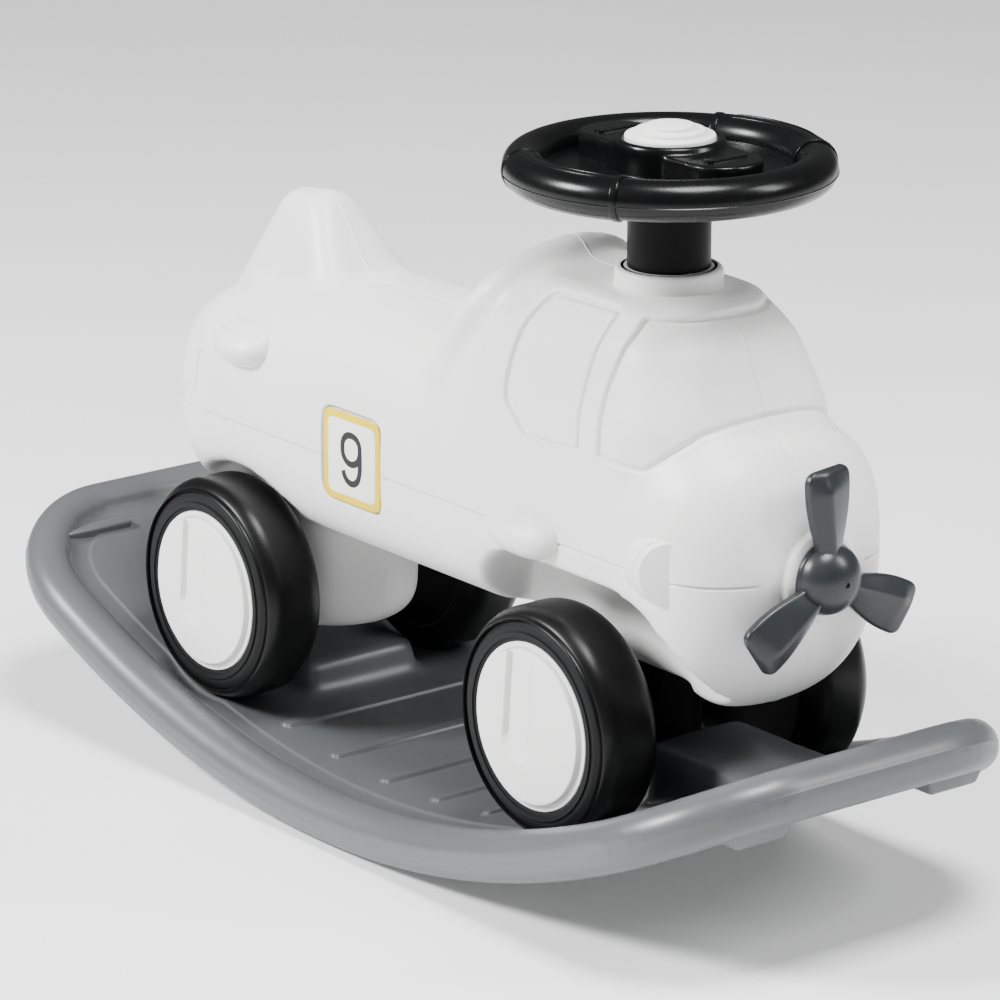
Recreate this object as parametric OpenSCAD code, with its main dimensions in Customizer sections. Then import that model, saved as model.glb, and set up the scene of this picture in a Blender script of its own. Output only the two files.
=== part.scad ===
// Ride-on aeroplane for a toddler, standing on its rocking board: a blow-moulded body on four wheels,
// with a steering wheel, a horn button and a free-spinning propeller. The board lifts off.
// Millimetres, +X towards the nose, +Y to the rider's left, +Z up, origin on the floor under the board.

/* [Rocking board] */
// Length over the rim
board_length = 776; // [750:1:810]
// Width over the rim
board_width = 298; // [294:1:320]
// Diameter of the round rim
rim_d = 35; // [33:0.5:38]
// Corner radius of the rim's middle line
rim_corner = 76; // [64:1:88]
// Radius of the rocking curve
rocking_radius = 662; // [620:1:720]
// Depth of the flat resting land cut under the middle of the rim
land_depth = 2.6; // [1.8:0.1:3.4]
// Height of the deck above the middle of the rim
deck_rise = 12; // [10:0.5:14]
// Thickness of the double-walled deck
deck_thickness = 28; // [26:0.5:30]
// Wall of the hollow board
board_wall = 3; // [2.5:0.1:3.5]
// Height of the stop block in front of the front axle, below the axle line
front_block_drop = 16.5; // [15:0.5:24]
// Height of the stop block in front of the rear axle, below the axle line
rear_block_drop = 56; // [52:0.5:60]
// Distance between the foot ribs
rib_pitch = 54; // [46:1:58]

/* [Running gear] */
// Distance between the axles
wheelbase = 348; // [336:1:356]
// Height of the lowest part of the tyres above the floor, on the board
tyre_height = 45; // [43:0.5:49]
// Diameter of the wheels over the tyres
wheel_d = 150; // [144:1:152]
// Width of the tyres
tyre_w = 50; // [44:1:52]
// Distance from the middle plane to the middle of a tyre
wheel_y = 86; // [85:0.5:88]
// Diameter of the axle rods
axle_d = 10; // [8:0.5:12]
// Distance from the tread in to the edge of a hub cap
cap_depth = 21; // [19:0.5:25]
// Steering angle to each side, in degrees
steer_angle = 18; // [10:1:18]

/* [Body] */
// Width of the body
body_width = 168; // [160:1:174]
// Distance from the middle of the wheelbase back to the tail
tail_reach = 283; // [270:1:295]
// Distance from the middle of the wheelbase forward to the nose
nose_reach = 318; // [310:1:326]
// Height of the belt line and the propeller above the axles
belt_height = 113; // [108:1:118]
// Height of the seat above the axles
seat_height = 208; // [200:1:216]
// Height of the side skirts above the axles
skirt_height = 42; // [38:1:46]
// Height of the cockpit roof above the axles
roof_height = 268; // [262:1:274]
// Height of the tail fin above the axles
fin_height = 257; // [245:1:270]
// Wall of the blow moulding
body_wall = 3.5; // [3:0.1:4]
// Side length of the square number labels
label_side = 60; // [50:1:62]

/* [Steering] */
// Diameter of the steering wheel
steering_wheel_d = 207; // [194:1:220]
// Thickness of the steering wheel's rim
grip_d = 26; // [24:0.5:28]
// Height of the steering wheel's parting plane above the axles
steering_wheel_height = 340; // [332:1:346]
// Diameter of the steering column
column_d = 52; // [48:0.5:54]
// Diameter of the steel steering shaft
shaft_d = 12; // [10:0.5:14]
// Diameter of the horn button
horn_d = 55; // [50:0.5:56]
// Travel of the horn button
horn_travel = 4; // [2:0.5:5]

/* [Propeller] */
// Diameter over the blade tips
propeller_d = 142; // [130:1:154]
// Diameter of the hub
propeller_hub_d = 46; // [42:0.5:50]
// Diameter of the pin that it turns on
propeller_pin_d = 6; // [5:0.5:7]

/* [Hidden] */
$fn = 64;
// Sides of the round pieces that end in a mesh
mesh_sides = 24;
// Overrun of every cut
over = 2;
// Clearance of a shaft that turns in a bore
run_gap = 0.06;
// Clearance between faces that pass each other
face_gap = 0.3;
// Clearance of a bush in its hole
seat_gap = 0.3;

// Board
rim_r = rim_d / 2;
half_length = board_length / 2 - rim_r;
half_width = board_width / 2 - rim_r;
corner_steps = 8;
side_steps = 22;
rim_sides = 16;
deck_steps = 32;
// Clearance of a wheel in its well
well_gap = 0.8;
front_block_w = 76;
front_block_start = 26;
front_block_length = 128;
rear_block_w = 92;
rear_block_start = 37;
rear_block_length = 92;
block_draft = 6;
rib_count = 5;
rib_d = 10;
rib_rise = 2.2;
rib_reach = 86;
stop_foot_w = 54;
stop_foot_y = 78;
stop_foot_depth = 34;
stop_foot_drop = 11;
stop_foot_share = 0.66;
drain_d = 8;
drain_x = 126;

// Running gear
axle_mid_x = 8;
front_axle_x = wheelbase / 2;
rear_axle_x = -wheelbase / 2;
wheel_r = wheel_d / 2;
axle_height = tyre_height + wheel_r;
axle_r = axle_d / 2;
wheel_in = wheel_y - tyre_w / 2;
wheel_out = wheel_y + tyre_w / 2;
// Width of the tread at full diameter
tread_w = 19;
tyre_depth = 15;
rim_lip_depth = 8;
bead_d = wheel_d - 2 * tyre_depth;
rim_lip_d = wheel_d - 2 * rim_lip_depth;
cap_d = wheel_d - 2 * cap_depth;
rim_lip_w = 5.5;
barrel_wall = 3;
web_w = 8;
hub_d = 28;
hub_in = 2;
hub_out = 10;
cap_proud = 2;
cap_w = 7;
cap_skirt = 8;
cap_skirt_wall = 2.5;
snap_gap = 0.2;
nut_d = 18;
nut_w = 3.6;
washer_d = 22;
washer_w = 2;
axle_end = 1.5;
hub_face_in = wheel_in - hub_in;
hub_face_out = wheel_y + hub_out;
washer_face = hub_face_in - face_gap - washer_w;
// Reach of the bushes and the yoke to each side, and how far a bush stands out of its pod
beam_reach = washer_face - face_gap;
bush_proud = 0.4;

// Body
half_body = body_width / 2;
squareness = 3;
cap_squareness = 2.25;
nose_cap = 60;
tail_cap = 84;
chin_drop = 95;
hood_rise = 83;
tail_rise = 82;
seat_rise = seat_height - belt_height;
skirt_drop = belt_height - skirt_height;
cap_steps = 7;
section_sides = 36;
// Height of the top line between the tail and the nose, as shares of the way along and of the seat's rise
top_line_shares = [[0.1, 0.95], [0.18, 0.99], [0.3, 1], [0.42, 1], [0.6, 1], [0.78, 0.97], [0.9, 0.92]];
// Where the underside starts to drop from the skirts to the chin
chin_start_share = 0.62;

// Cockpit, measured forward from the middle of the wheelbase
cab_back = 12;
cab_front = 266;
cab_waist = 62;
cab_shoulder_back = 36;
cab_shoulder_front = 270;
cab_shoulder = 80;
cab_shoulder_height = 196;
cab_roof_back = 96;
cab_roof_front = 226;
cab_roof = 47;
cab_corner = 36;
cab_shoulder_corner = 58;
cab_brow_back = 64;
cab_brow_front = 250;
cab_brow = 66;
cab_brow_corner = 48;
cab_brow_height = 240;
platform_lift = 3;
platform_back = 128;
platform_front = 222;
platform_half = 40;
platform_corner = 34;
coaming_d = 25;
coaming_foot_x = 32;
coaming_foot_height = 188;
coaming_top_x = 82;
coaming_half = 77;
coaming_bow = 0.9;
coaming_steps = 16;
coaming_sides = 12;

// Tail fin, with its edges rounded
fin_edge = 12;
fin_foot_front = 139;
fin_foot_front_half = 27;
fin_foot_front_height = 196;
fin_foot_back = 258;
fin_foot_back_half = 13;
fin_foot_back_height = 165;
fin_top_front = 176;
fin_top_front_half = 8;
fin_top_back = 208;
fin_top_back_half = 4;
fin_top_slope = 3;

// Front wheel room and rear arches, measured from their axles
well_top = 95;
well_back = 92;
well_front = 108;
well_back_r = 42;
well_front_r = 70;
// The keel that parts the front wheel room in two wells, and the chin that ends it in front
keel_half = 36;
keel_low = 31;
chin_back = 66;
chin_low = 19;
chin_edge = 9;
arch_gap = 7;
pod_r = beam_reach - bush_proud;
pod_low = 35;
pod_high = 70;
pod_edge = 18;

// Lumps on the body's sides: place of the middle, then half sizes
exhaust_x = 136;
exhaust_lift = 3;
exhaust_half = [34, 15, 15.5];
tail_lump_x = 170;
tail_lump_lift = 55;
tail_lump_in = 6;
tail_lump_half = [29, 15, 14];
lamp_x = 267;
lamp_lift = 5;
lamp_in = 5;
lamp_half = [33, 14, 21];

// Number labels
label_x = -43.5;
label_lift = 3.5;
label_corner = 8;
label_w = 1;
label_inset = 2;

// Propeller on its boss
boss_d = 58;
boss_face = 322;
boss_root = 292;
propeller_face = boss_face + face_gap * 3;
propeller_washer_d = 18;
propeller_hub_w = 18;
propeller_dome = 3;
pin_end = 12;
pin_flange_d = 14;
pin_flange_w = 3;
pinhole_d = 2.4;
blade_count = 3;
blade_w = 33;
blade_root_w = 15;
blade_t = 8;
blade_tip_t = 6;
blade_pitch = 4;
blade_offset = 6.2;
// Angle of the first blade from upright, in degrees
blade_start = 3;
blade_corner = 9;

// Steering
shaft_r = shaft_d / 2;
column_r = column_d / 2;
collar_wall = 7.5;
collar_height = 277.5;
upper_bush_wall = 4;
upper_bush_w = 22;
upper_bush_foot = 6;
column_low = 250;
column_wall = 4;
column_web = 7;
sleeve_d = 32;
sleeve_r = sleeve_d / 2;
sleeve_high = 104;
lower_bush_wall = 4;
lower_bush_flange = 8;
lower_bush_flange_w = 3.5;
lower_bush_w = 7;
thrust_d = 46;
thrust_edge = 6;
yoke_low = 33;
beam_d = 24;
shaft_low = 8;
yoke_neck_low = 4;
cross_pin_d = 5;
cross_pin_height = 58;
cross_pin_end = 3;
grip_wall = 2.6;
wheel_hub_d = 69;
wheel_hub_wall = 3;
hub_floor = 5;
hub_under = 10;
hub_over = 18;
hub_ring = 6;
spoke_w = 54;
spoke_t = 7;
spoke_in_share = 0.42;
wheel_floor_w = 3;
grip_ring_r = steering_wheel_d / 2 - grip_d / 2;
horn_gap = 0.4;
horn_lip = 2.4;
horn_lip_w = 3.6;
horn_step_shares = [1, 0.8, 0.55];
horn_step_rise = 3.6;
horn_proud = 1.5;
bellows_wall = 9;
steering_nut_w = 6;
steering_nut_d = 20;
nut_thread = 2;
screw_d = 5;
screw_head_d = 9;
screw_head_w = 3;
screw_x_share = 0.72;
screw_y = 14;
screw_end = 1.5;

// Helpers

function unit(v) = v / norm(v);
function span(first, last, steps) = [for (k = [0 : steps]) first + (last - first) * k / steps];
// A signed power, for rounded-square outlines
function swell(v, power) = sign(v) * pow(abs(v), power);

// Everything that rides on the axles is drawn around the middle of the wheelbase at axle height
module on_axles() translate([axle_mid_x, 0, axle_height]) children();

// A skin over rings of points; a loop joins the last ring to the first
module skin(rings, loop = false) {
    sides = len(rings[0]);
    count = len(rings);
    walls = [
        for (i = [0 : count - (loop ? 1 : 2)], k = [0 : sides - 1])
            let (j = (i + 1) % count, m = (k + 1) % sides)
                each [
                    [i * sides + k, j * sides + m, i * sides + m],
                    [i * sides + k, j * sides + k, j * sides + m],
                ],
    ];
    ends = [[for (k = [0 : sides - 1]) k], [for (k = [sides - 1 : -1 : 0]) (count - 1) * sides + k]];
    polyhedron([for (ring = rings) each ring], concat(walls, loop ? [] : ends));
}

// Rings of a round tube along a path
function tube_rings(path, r, sides, loop) = [
    for (i = [0 : len(path) - 1])
        let (
            last = len(path) - 1,
            ahead = loop ? path[(i + 1) % len(path)] : path[min(i + 1, last)],
            behind = loop ? path[(i + last) % len(path)] : path[max(i - 1, 0)],
            run = unit(ahead - behind),
            across = unit(cross([0, 0, 1], run)),
            rise = cross(run, across)
        )
            [for (a = [0 : 360 / sides : 359]) path[i] + r * (cos(a) * across + sin(a) * rise)],
];

// A rod or ring across the body, between two distances from the middle plane
module across(y0, y1, r) translate([0, y1, 0]) rotate([90, 0, 0]) cylinder(r = r, h = y1 - y0);

module both_sides() {
    children();
    mirror([0, 1, 0]) children();
}

// A stretched ball
module ball(half) scale(half) sphere(r = 1, $fn = mesh_sides);

// Rocking board

function rim_z(x) = rim_r - land_depth + x * x / (2 * rocking_radius);
function corner_arc(cx, cy, start) =
    [for (a = span(start, start + 90, corner_steps)) [cx + rim_corner * cos(a), cy + rim_corner * sin(a)]];
function rim_plan() =
    let (ax = half_length - rim_corner, ay = half_width - rim_corner)
        concat(
            corner_arc(ax, ay, 0),
            [for (k = [1 : side_steps - 1]) [ax - 2 * ax * k / side_steps, half_width]],
            corner_arc(-ax, ay, 90),
            corner_arc(-ax, -ay, 180),
            [for (k = [1 : side_steps - 1]) [2 * ax * k / side_steps - ax, -half_width]],
            corner_arc(ax, -ay, 270)
        );

module rim(r) skin(tube_rings([for (p = rim_plan()) [p[0], p[1], rim_z(p[0])]], r, rim_sides, true), true);

// The deck inside the rim, following the rocking curve
module deck(inset) {
    xs = span(-half_length, half_length, deck_steps);
    top = [for (x = xs) [x, rim_z(x) + deck_rise - inset]];
    under = [for (x = xs) [x, rim_z(x) + deck_rise - deck_thickness + inset]];
    intersection() {
        linear_extrude(board_length) offset(delta = -inset) polygon(rim_plan());
        rotate([90, 0, 0]) linear_extrude(board_width, center = true)
            polygon(concat(top, [for (k = [len(under) - 1 : -1 : 0]) under[k]]));
    }
}

// A block that stands on the deck, with a sloping back
module deck_block(start, length, width, top, inset) {
    xs = span(start + inset, start + length, deck_steps / 4);
    low = [for (x = xs) [x, rim_z(x)]];
    rotate([90, 0, 0]) linear_extrude(width - 2 * inset, center = true)
        polygon(concat(low, [[start + length, top - inset], [start + block_draft + inset, top - inset]]));
}

module deck_blocks(inset) {
    deck_block(
        axle_mid_x + front_axle_x + front_block_start, front_block_length, front_block_w,
        axle_height - front_block_drop, inset
    );
    mirror([1, 0, 0]) deck_block(
        -axle_mid_x - rear_axle_x - rear_block_start, rear_block_length, rear_block_w,
        axle_height - rear_block_drop, inset
    );
}

// The room that a wheel needs, with the sweep of the steering at the front
module wheel_wells(grow) {
    reach = [wheel_in - well_gap - grow, wheel_out + cap_proud + well_gap + grow];
    on_axles() {
        for (a = span(-steer_angle, steer_angle, 4))
            translate([front_axle_x, 0, 0]) rotate(a) both_sides()
                across(reach[0], reach[1], wheel_r + well_gap + grow, $fn = mesh_sides * 2);
        translate([rear_axle_x, 0, 0]) both_sides()
            across(reach[0], reach[1], wheel_r + well_gap + grow, $fn = mesh_sides * 2);
    }
}

module foot_ribs() {
    for (k = [0 : rib_count - 1]) {
        x = (k - (rib_count - 1) / 2) * rib_pitch;
        z = rim_z(x) + deck_rise + rib_rise - rib_d / 2;
        hull() both_sides() translate([x, rib_reach, z]) sphere(d = rib_d, $fn = mesh_sides / 2);
    }
}

// A tapered foot under each end that stops the rocking
module stop_foot() {
    low = rim_z(half_length) - rim_r - stop_foot_drop;
    translate([half_length - stop_foot_depth / 2, stop_foot_y, 0]) hull() {
        translate([0, 0, low]) linear_extrude(stop_foot_drop)
            square([stop_foot_depth, stop_foot_w] * stop_foot_share, center = true);
        translate([-stop_foot_depth / 2, -stop_foot_w / 2, rim_z(half_length) - rim_r])
            cube([stop_foot_depth, stop_foot_w, rim_r]);
    }
}

module board_cavity() {
    difference() {
        union() {
            rim(rim_r - board_wall);
            deck(board_wall);
            deck_blocks(board_wall);
        }
        wheel_wells(board_wall);
        translate([0, 0, board_wall - board_length / 2]) cube(board_length, center = true);
    }
}

module board_solid() {
    difference() {
        union() {
            rim(rim_r);
            deck(0);
            deck_blocks(0);
            foot_ribs();
            for (turn = [0, 180]) rotate(turn) both_sides() stop_foot();
        }
        wheel_wells(0);
        translate([0, 0, -board_length / 2]) cube(board_length, center = true);
    }
}

module rocker_board() {
    color("dimgray") difference() {
        board_solid();
        board_cavity();
        for (x = [-drain_x, drain_x]) translate([x, 0, 0])
            cylinder(d = drain_d, h = rim_z(drain_x), $fn = mesh_sides);
    }
}

// Body

// One cross-section: a rounded square about the belt line
function section(x, half, up, down) = [
    for (k = [0 : section_sides - 1])
        let (a = 360 * k / section_sides, power = 2 / squareness, rise = a < 180 ? up : down)
            [x, half * swell(cos(a), power), belt_height + rise * swell(sin(a), power)],
];

// Sections of a rounded end, from its foot towards its tip
function end_sections(foot, reach, half, up, down) = [
    for (a = span(0, 90 - 90 / (3 * cap_steps), cap_steps))
        let (out = swell(sin(a), 2 / cap_squareness), in = swell(cos(a), 2 / cap_squareness))
            section(foot + reach * out, half * in, up * in, down * in),
];

// The fuselage from tail to nose; an inset draws its inner wall
module fuselage(inset) {
    tail = tail_cap - tail_reach;
    nose = nose_reach - nose_cap;
    half = half_body - inset;
    back = end_sections(tail, inset - tail_cap, half, tail_rise - inset, skirt_drop - inset);
    middle = [
        for (share = top_line_shares)
            let (chin = max(0, (share[0] - chin_start_share) / (1 - chin_start_share)))
                section(
                    tail + (nose - tail) * share[0], half, seat_rise * share[1] - inset,
                    skirt_drop + (chin_drop - skirt_drop) * chin - inset
                ),
    ];
    front = end_sections(nose, nose_cap - inset, half, hood_rise - inset, chin_drop - inset);
    skin(concat([for (k = [len(back) - 1 : -1 : 0]) back[k]], middle, front));
}

// A level of the cockpit: four round corners on a thin plate
module cab_level(back, front, half, corner, height, inset) {
    for (x = [back + corner, front - corner]) both_sides() translate([x, half - corner, height - inset])
        cylinder(r = corner - inset, h = over, $fn = mesh_sides * 2);
}

module cockpit(inset) {
    hull() {
        cab_level(cab_back, cab_front, half_body, cab_waist, belt_height + inset, inset);
        cab_level(
            cab_shoulder_back, cab_shoulder_front, cab_shoulder, cab_shoulder_corner,
            cab_shoulder_height, inset
        );
        cab_level(cab_brow_back, cab_brow_front, cab_brow, cab_brow_corner, cab_brow_height, inset);
        cab_level(cab_roof_back, cab_roof_front, cab_roof, cab_corner, roof_height - over, inset);
    }
}

module platform() {
    hull() {
        cab_level(platform_back, platform_front, platform_half, platform_corner, roof_height, 0);
        cab_level(
            platform_back, platform_front + platform_lift, platform_half + platform_lift, platform_corner,
            roof_height - platform_lift * 2, 0
        );
    }
}

// The rolled edge of the cockpit in front of the seat, an arch that leans forward
module coaming() {
    path = [
        for (a = span(-90, 90, coaming_steps))
            let (up = pow(cos(a), coaming_bow))
                [
                    coaming_foot_x + (coaming_top_x - coaming_foot_x) * up,
                    coaming_half * sin(a),
                    coaming_foot_height + (roof_height - coaming_foot_height) * up,
                ],
    ];
    skin(tube_rings(path, coaming_d / 2, coaming_sides, false));
}

module tail_fin() {
    places = [
        [-fin_foot_front, fin_foot_front_half, fin_foot_front_height],
        [-fin_foot_back, fin_foot_back_half, fin_foot_back_height],
        [-fin_top_front, fin_top_front_half, fin_height - fin_edge],
        [-fin_top_back, fin_top_back_half, fin_height - fin_edge - fin_top_slope],
    ];
    hull() both_sides() for (place = places) translate(place) sphere(r = fin_edge, $fn = mesh_sides);
}

// The round pod that carries the rear axle
module axle_pod(inset) {
    r = pod_r - inset;
    bevel = pod_edge / 3;
    $fn = mesh_sides * 2;
    translate([rear_axle_x, 0, 0]) hull() {
        translate([0, 0, inset - pod_low]) cylinder(r = r - pod_edge, h = over);
        translate([0, 0, inset - pod_low + bevel]) cylinder(r = r - bevel, h = over);
        translate([0, 0, pod_edge - pod_low]) cylinder(r = r, h = pod_high + pod_low - pod_edge);
    }
}

// The keel between the front wheels, drawn in by a wall's width
module keel(inset) {
    reach = well_back + well_front;
    rotate([90, 0, 0]) linear_extrude(2 * (keel_half - inset), center = true) translate([front_axle_x, 0]) {
        translate([-reach, keel_low + inset]) square([2 * reach, well_top]);
        hull() {
            translate([chin_back + chin_edge, chin_low + chin_edge])
                circle(r = chin_edge - inset, $fn = mesh_sides);
            translate([chin_back + inset, chin_low + chin_edge]) square([reach, well_top]);
            translate([chin_back + chin_edge, chin_low + inset]) square([reach, well_top]);
        }
    }
}

// The room for the front wheels: a well on each side of the keel, open to each other under it
module front_wheel_room(grow) {
    difference() {
        translate([front_axle_x, 0, 0]) rotate([90, 0, 0]) linear_extrude(board_width, center = true) hull() {
            translate([well_back_r - well_back, well_top - well_back_r])
                circle(r = well_back_r + grow, $fn = mesh_sides * 2);
            translate([well_front - well_front_r, well_top - well_front_r])
                circle(r = well_front_r + grow, $fn = mesh_sides * 2);
            translate([-well_back - grow, -belt_height]) square([well_back + well_front + 2 * grow, over]);
        }
        keel(grow);
    }
}

module rear_arches(grow) {
    translate([rear_axle_x, 0, 0]) both_sides()
        across(pod_r - grow, board_width / 2, wheel_r + arch_gap + grow, $fn = mesh_sides * 2);
}

module side_lumps() {
    both_sides() {
        translate([exhaust_x, half_body, belt_height + exhaust_lift]) ball(exhaust_half);
        translate([-tail_lump_x, half_body - tail_lump_in, belt_height + tail_lump_lift])
            ball(tail_lump_half);
        intersection() {
            translate([lamp_x, half_body - lamp_in, belt_height + lamp_lift]) ball(lamp_half);
            translate([lamp_x - nose_reach, 0, 0]) cube([nose_reach, body_width, nose_reach]);
        }
    }
}

module column_collar() {
    low = roof_height - column_r;
    translate([front_axle_x, 0, low])
        cylinder(r = column_r + collar_wall, h = collar_height - low, $fn = mesh_sides * 2);
}

module propeller_boss() {
    translate([boss_root, 0, belt_height]) rotate([0, 90, 0])
        cylinder(d = boss_d, h = boss_face - boss_root, $fn = mesh_sides * 2);
}

module label_plate(side, depth) {
    linear_extrude(depth) offset(r = label_corner) square(side - 2 * label_corner, center = true);
}

// A label's place on the right side, facing outwards
module at_label() {
    translate([label_x, label_inset - half_body, belt_height + label_lift]) rotate([90, 0, 0]) children();
}

module both_labels() {
    for (turn = [0, 1]) mirror([0, turn, 0]) at_label() children();
}

module body_cavity() {
    bush_seat = sleeve_r + lower_bush_wall + body_wall;
    difference() {
        union() {
            fuselage(body_wall);
            cockpit(body_wall);
            axle_pod(body_wall);
        }
        front_wheel_room(body_wall);
        rear_arches(body_wall);
        both_labels() mirror([0, 0, 1]) label_plate(label_side + 2 * body_wall, body_wall);
        translate([front_axle_x, 0, 0])
            cylinder(r = bush_seat, h = keel_low + lower_bush_w, $fn = mesh_sides);
        propeller_boss();
    }
}

module body_solid() {
    difference() {
        union() {
            fuselage(0);
            cockpit(0);
            platform();
            coaming();
            tail_fin();
            axle_pod(0);
            side_lumps();
            column_collar();
            propeller_boss();
        }
        front_wheel_room(0);
        rear_arches(0);
        both_labels() label_plate(label_side + 2 * seat_gap, label_inset + over);
    }
}

// The holes for the bushes and the propeller's pin
module body_bores() {
    $fn = mesh_sides * 2;
    translate([front_axle_x, 0, 0]) cylinder(r = sleeve_r + lower_bush_wall + seat_gap, h = roof_height / 2);
    translate([front_axle_x, 0, roof_height / 2])
        cylinder(r = column_r + upper_bush_wall + seat_gap, h = roof_height);
    translate([rear_axle_x, 0, 0]) across(-body_width, body_width, axle_r + lower_bush_wall + seat_gap);
    translate([0, 0, belt_height]) rotate([0, 90, 0])
        cylinder(r = propeller_pin_d / 2 + seat_gap, h = nose_reach + boss_d);
}

module body_shell() {
    color("whitesmoke") on_axles() difference() {
        body_solid();
        body_cavity();
        body_bores();
    }
}

module number_label(turn) {
    color("gold") on_axles() mirror([0, turn, 0]) at_label() label_plate(label_side, label_w);
}

// Bushes

module upper_column_bush() {
    bore_r = column_r + run_gap;
    low = collar_height - upper_bush_w;
    color("whitesmoke") on_axles() translate([front_axle_x, 0, low]) difference() {
        cylinder(r = column_r + upper_bush_wall, h = upper_bush_w);
        translate([0, 0, -over]) cylinder(r = bore_r, h = upper_bush_w + 2 * over);
    }
}

module lower_column_bush() {
    bore_r = sleeve_r + run_gap;
    color("black") on_axles() translate([front_axle_x, 0, keel_low]) difference() {
        union() {
            cylinder(r = sleeve_r + lower_bush_wall, h = lower_bush_w);
            translate([0, 0, -lower_bush_flange_w])
                cylinder(r = sleeve_r + lower_bush_flange, h = lower_bush_flange_w);
        }
        translate([0, 0, -lower_bush_flange_w - over])
            cylinder(r = bore_r, h = lower_bush_w + lower_bush_flange_w + 2 * over);
    }
}

module rear_axle_bushes() {
    inner = pod_r - pod_edge;
    color("black") on_axles() translate([rear_axle_x, 0, 0]) both_sides() difference() {
        across(inner, beam_reach, axle_r + lower_bush_wall);
        across(inner - over, beam_reach + over, axle_r + run_gap);
    }
}

// Axles and what is on them

module axle(x) {
    reach = hub_face_out + face_gap + nut_w + axle_end;
    color("silver") on_axles() translate([x, 0, 0]) across(-reach, reach, axle_r);
}

module axle_washers(x) {
    color("silver") on_axles() translate([x, 0, 0]) both_sides() difference() {
        across(washer_face, washer_face + washer_w, washer_d / 2);
        across(washer_face - over, washer_face + washer_w + over, axle_r + run_gap);
    }
}

module axle_push_nuts(x) {
    start = hub_face_out + face_gap;
    color("silver") on_axles() translate([x, 0, 0]) both_sides() difference() {
        across(start, start + nut_w, nut_d / 2);
        across(start - over, start + nut_w + over, axle_r + run_gap);
    }
}

// Wheels, drawn about their axle with the outer face towards +Z

module tyre() {
    half = tyre_w / 2;
    shoulder_r = half - tread_w / 2;
    bead_r = bead_d / 2;
    color("#151517") rotate_extrude() difference() {
        union() {
            translate([bead_r, -tread_w / 2]) square([wheel_r - bead_r, tread_w]);
            translate([bead_r, -half]) square([wheel_r - shoulder_r - bead_r + over, tyre_w]);
            translate([wheel_r - shoulder_r, tread_w / 2]) circle(r = shoulder_r);
            translate([wheel_r - shoulder_r, -tread_w / 2]) circle(r = shoulder_r);
        }
        translate([0, -tyre_w]) square([bead_r, 2 * tyre_w]);
        translate([0, half - rim_lip_w]) square([rim_lip_d / 2 + snap_gap, rim_lip_w + over]);
    }
}

module wheel_rim() {
    half = tyre_w / 2;
    bore_r = axle_r + run_gap;
    barrel_r = bead_d / 2 - snap_gap;
    seat_r = cap_d / 2 + snap_gap;
    ledge_r = seat_r - cap_skirt_wall - snap_gap;
    color("#2b2d30") rotate_extrude() {
        translate([barrel_r - barrel_wall, -half]) square([barrel_wall, tyre_w]);
        translate([seat_r, half - rim_lip_w + snap_gap])
            square([rim_lip_d / 2 - seat_r, rim_lip_w - snap_gap]);
        translate([ledge_r, half + cap_proud - cap_w - barrel_wall])
            square([barrel_r - ledge_r, barrel_wall]);
        translate([bore_r, -web_w / 2]) square([barrel_r - bore_r, web_w]);
        translate([bore_r, -half - hub_in]) square([hub_d / 2 - bore_r, half + hub_in + hub_out]);
    }
}

module hub_cap() {
    face = tyre_w / 2 + cap_proud;
    back = face - cap_w;
    skirt_r = cap_d / 2 - cap_skirt_wall - 2 * snap_gap;
    color("whitesmoke") rotate_extrude() {
        translate([0, back]) square([cap_d / 2 - cap_w / 3, cap_w]);
        translate([0, back]) square([cap_d / 2, cap_w * 2 / 3]);
        translate([cap_d / 2 - cap_w / 3, face - cap_w / 3]) circle(r = cap_w / 3, $fn = mesh_sides);
        translate([skirt_r - cap_skirt_wall, back - cap_skirt]) square([cap_skirt_wall, cap_skirt]);
    }
}

// A wheel piece at its corner of the toy: lengthwise -1 or 1, and side -1 for right or 1 for left
module at_corner(lengthwise, side) {
    on_axles() translate([lengthwise * front_axle_x, side * wheel_y, 0])
        rotate([-side * 90, 0, 0]) children();
}

// Steering

module front_axle_yoke() {
    thrust_top = keel_low - lower_bush_flange_w - face_gap;
    color("black") on_axles() translate([front_axle_x, 0, 0]) difference() {
        union() {
            translate([0, 0, yoke_neck_low]) cylinder(r = sleeve_r, h = sleeve_high - yoke_neck_low);
            translate([0, 0, thrust_edge - yoke_low])
                cylinder(d = thrust_d, h = thrust_top + yoke_low - thrust_edge);
            translate([0, 0, -yoke_low])
                cylinder(d1 = thrust_d - 2 * thrust_edge, d2 = thrust_d, h = thrust_edge);
            across(-beam_reach, beam_reach, beam_d / 2);
        }
        across(-beam_reach - over, beam_reach + over, axle_r + run_gap);
        translate([0, 0, shaft_low]) cylinder(r = shaft_r + run_gap, h = sleeve_high);
        translate([-sleeve_r - over, 0, cross_pin_height]) rotate([0, 90, 0])
            cylinder(d = cross_pin_d + 2 * run_gap, h = sleeve_d + 2 * over);
    }
}

module steering_shaft() {
    top = steering_wheel_height - hub_under + hub_floor + steering_nut_w + nut_thread;
    color("silver") on_axles() translate([front_axle_x, 0, 0]) difference() {
        translate([0, 0, shaft_low]) cylinder(r = shaft_r, h = top - shaft_low);
        translate([-shaft_d, 0, cross_pin_height]) rotate([0, 90, 0])
            cylinder(d = cross_pin_d + 2 * run_gap, h = 2 * shaft_d);
    }
}

module shaft_cross_pin() {
    length = sleeve_d + 2 * cross_pin_end;
    color("silver") on_axles() translate([front_axle_x - length / 2, 0, cross_pin_height]) rotate([0, 90, 0])
        cylinder(d = cross_pin_d, h = length);
}

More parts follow.
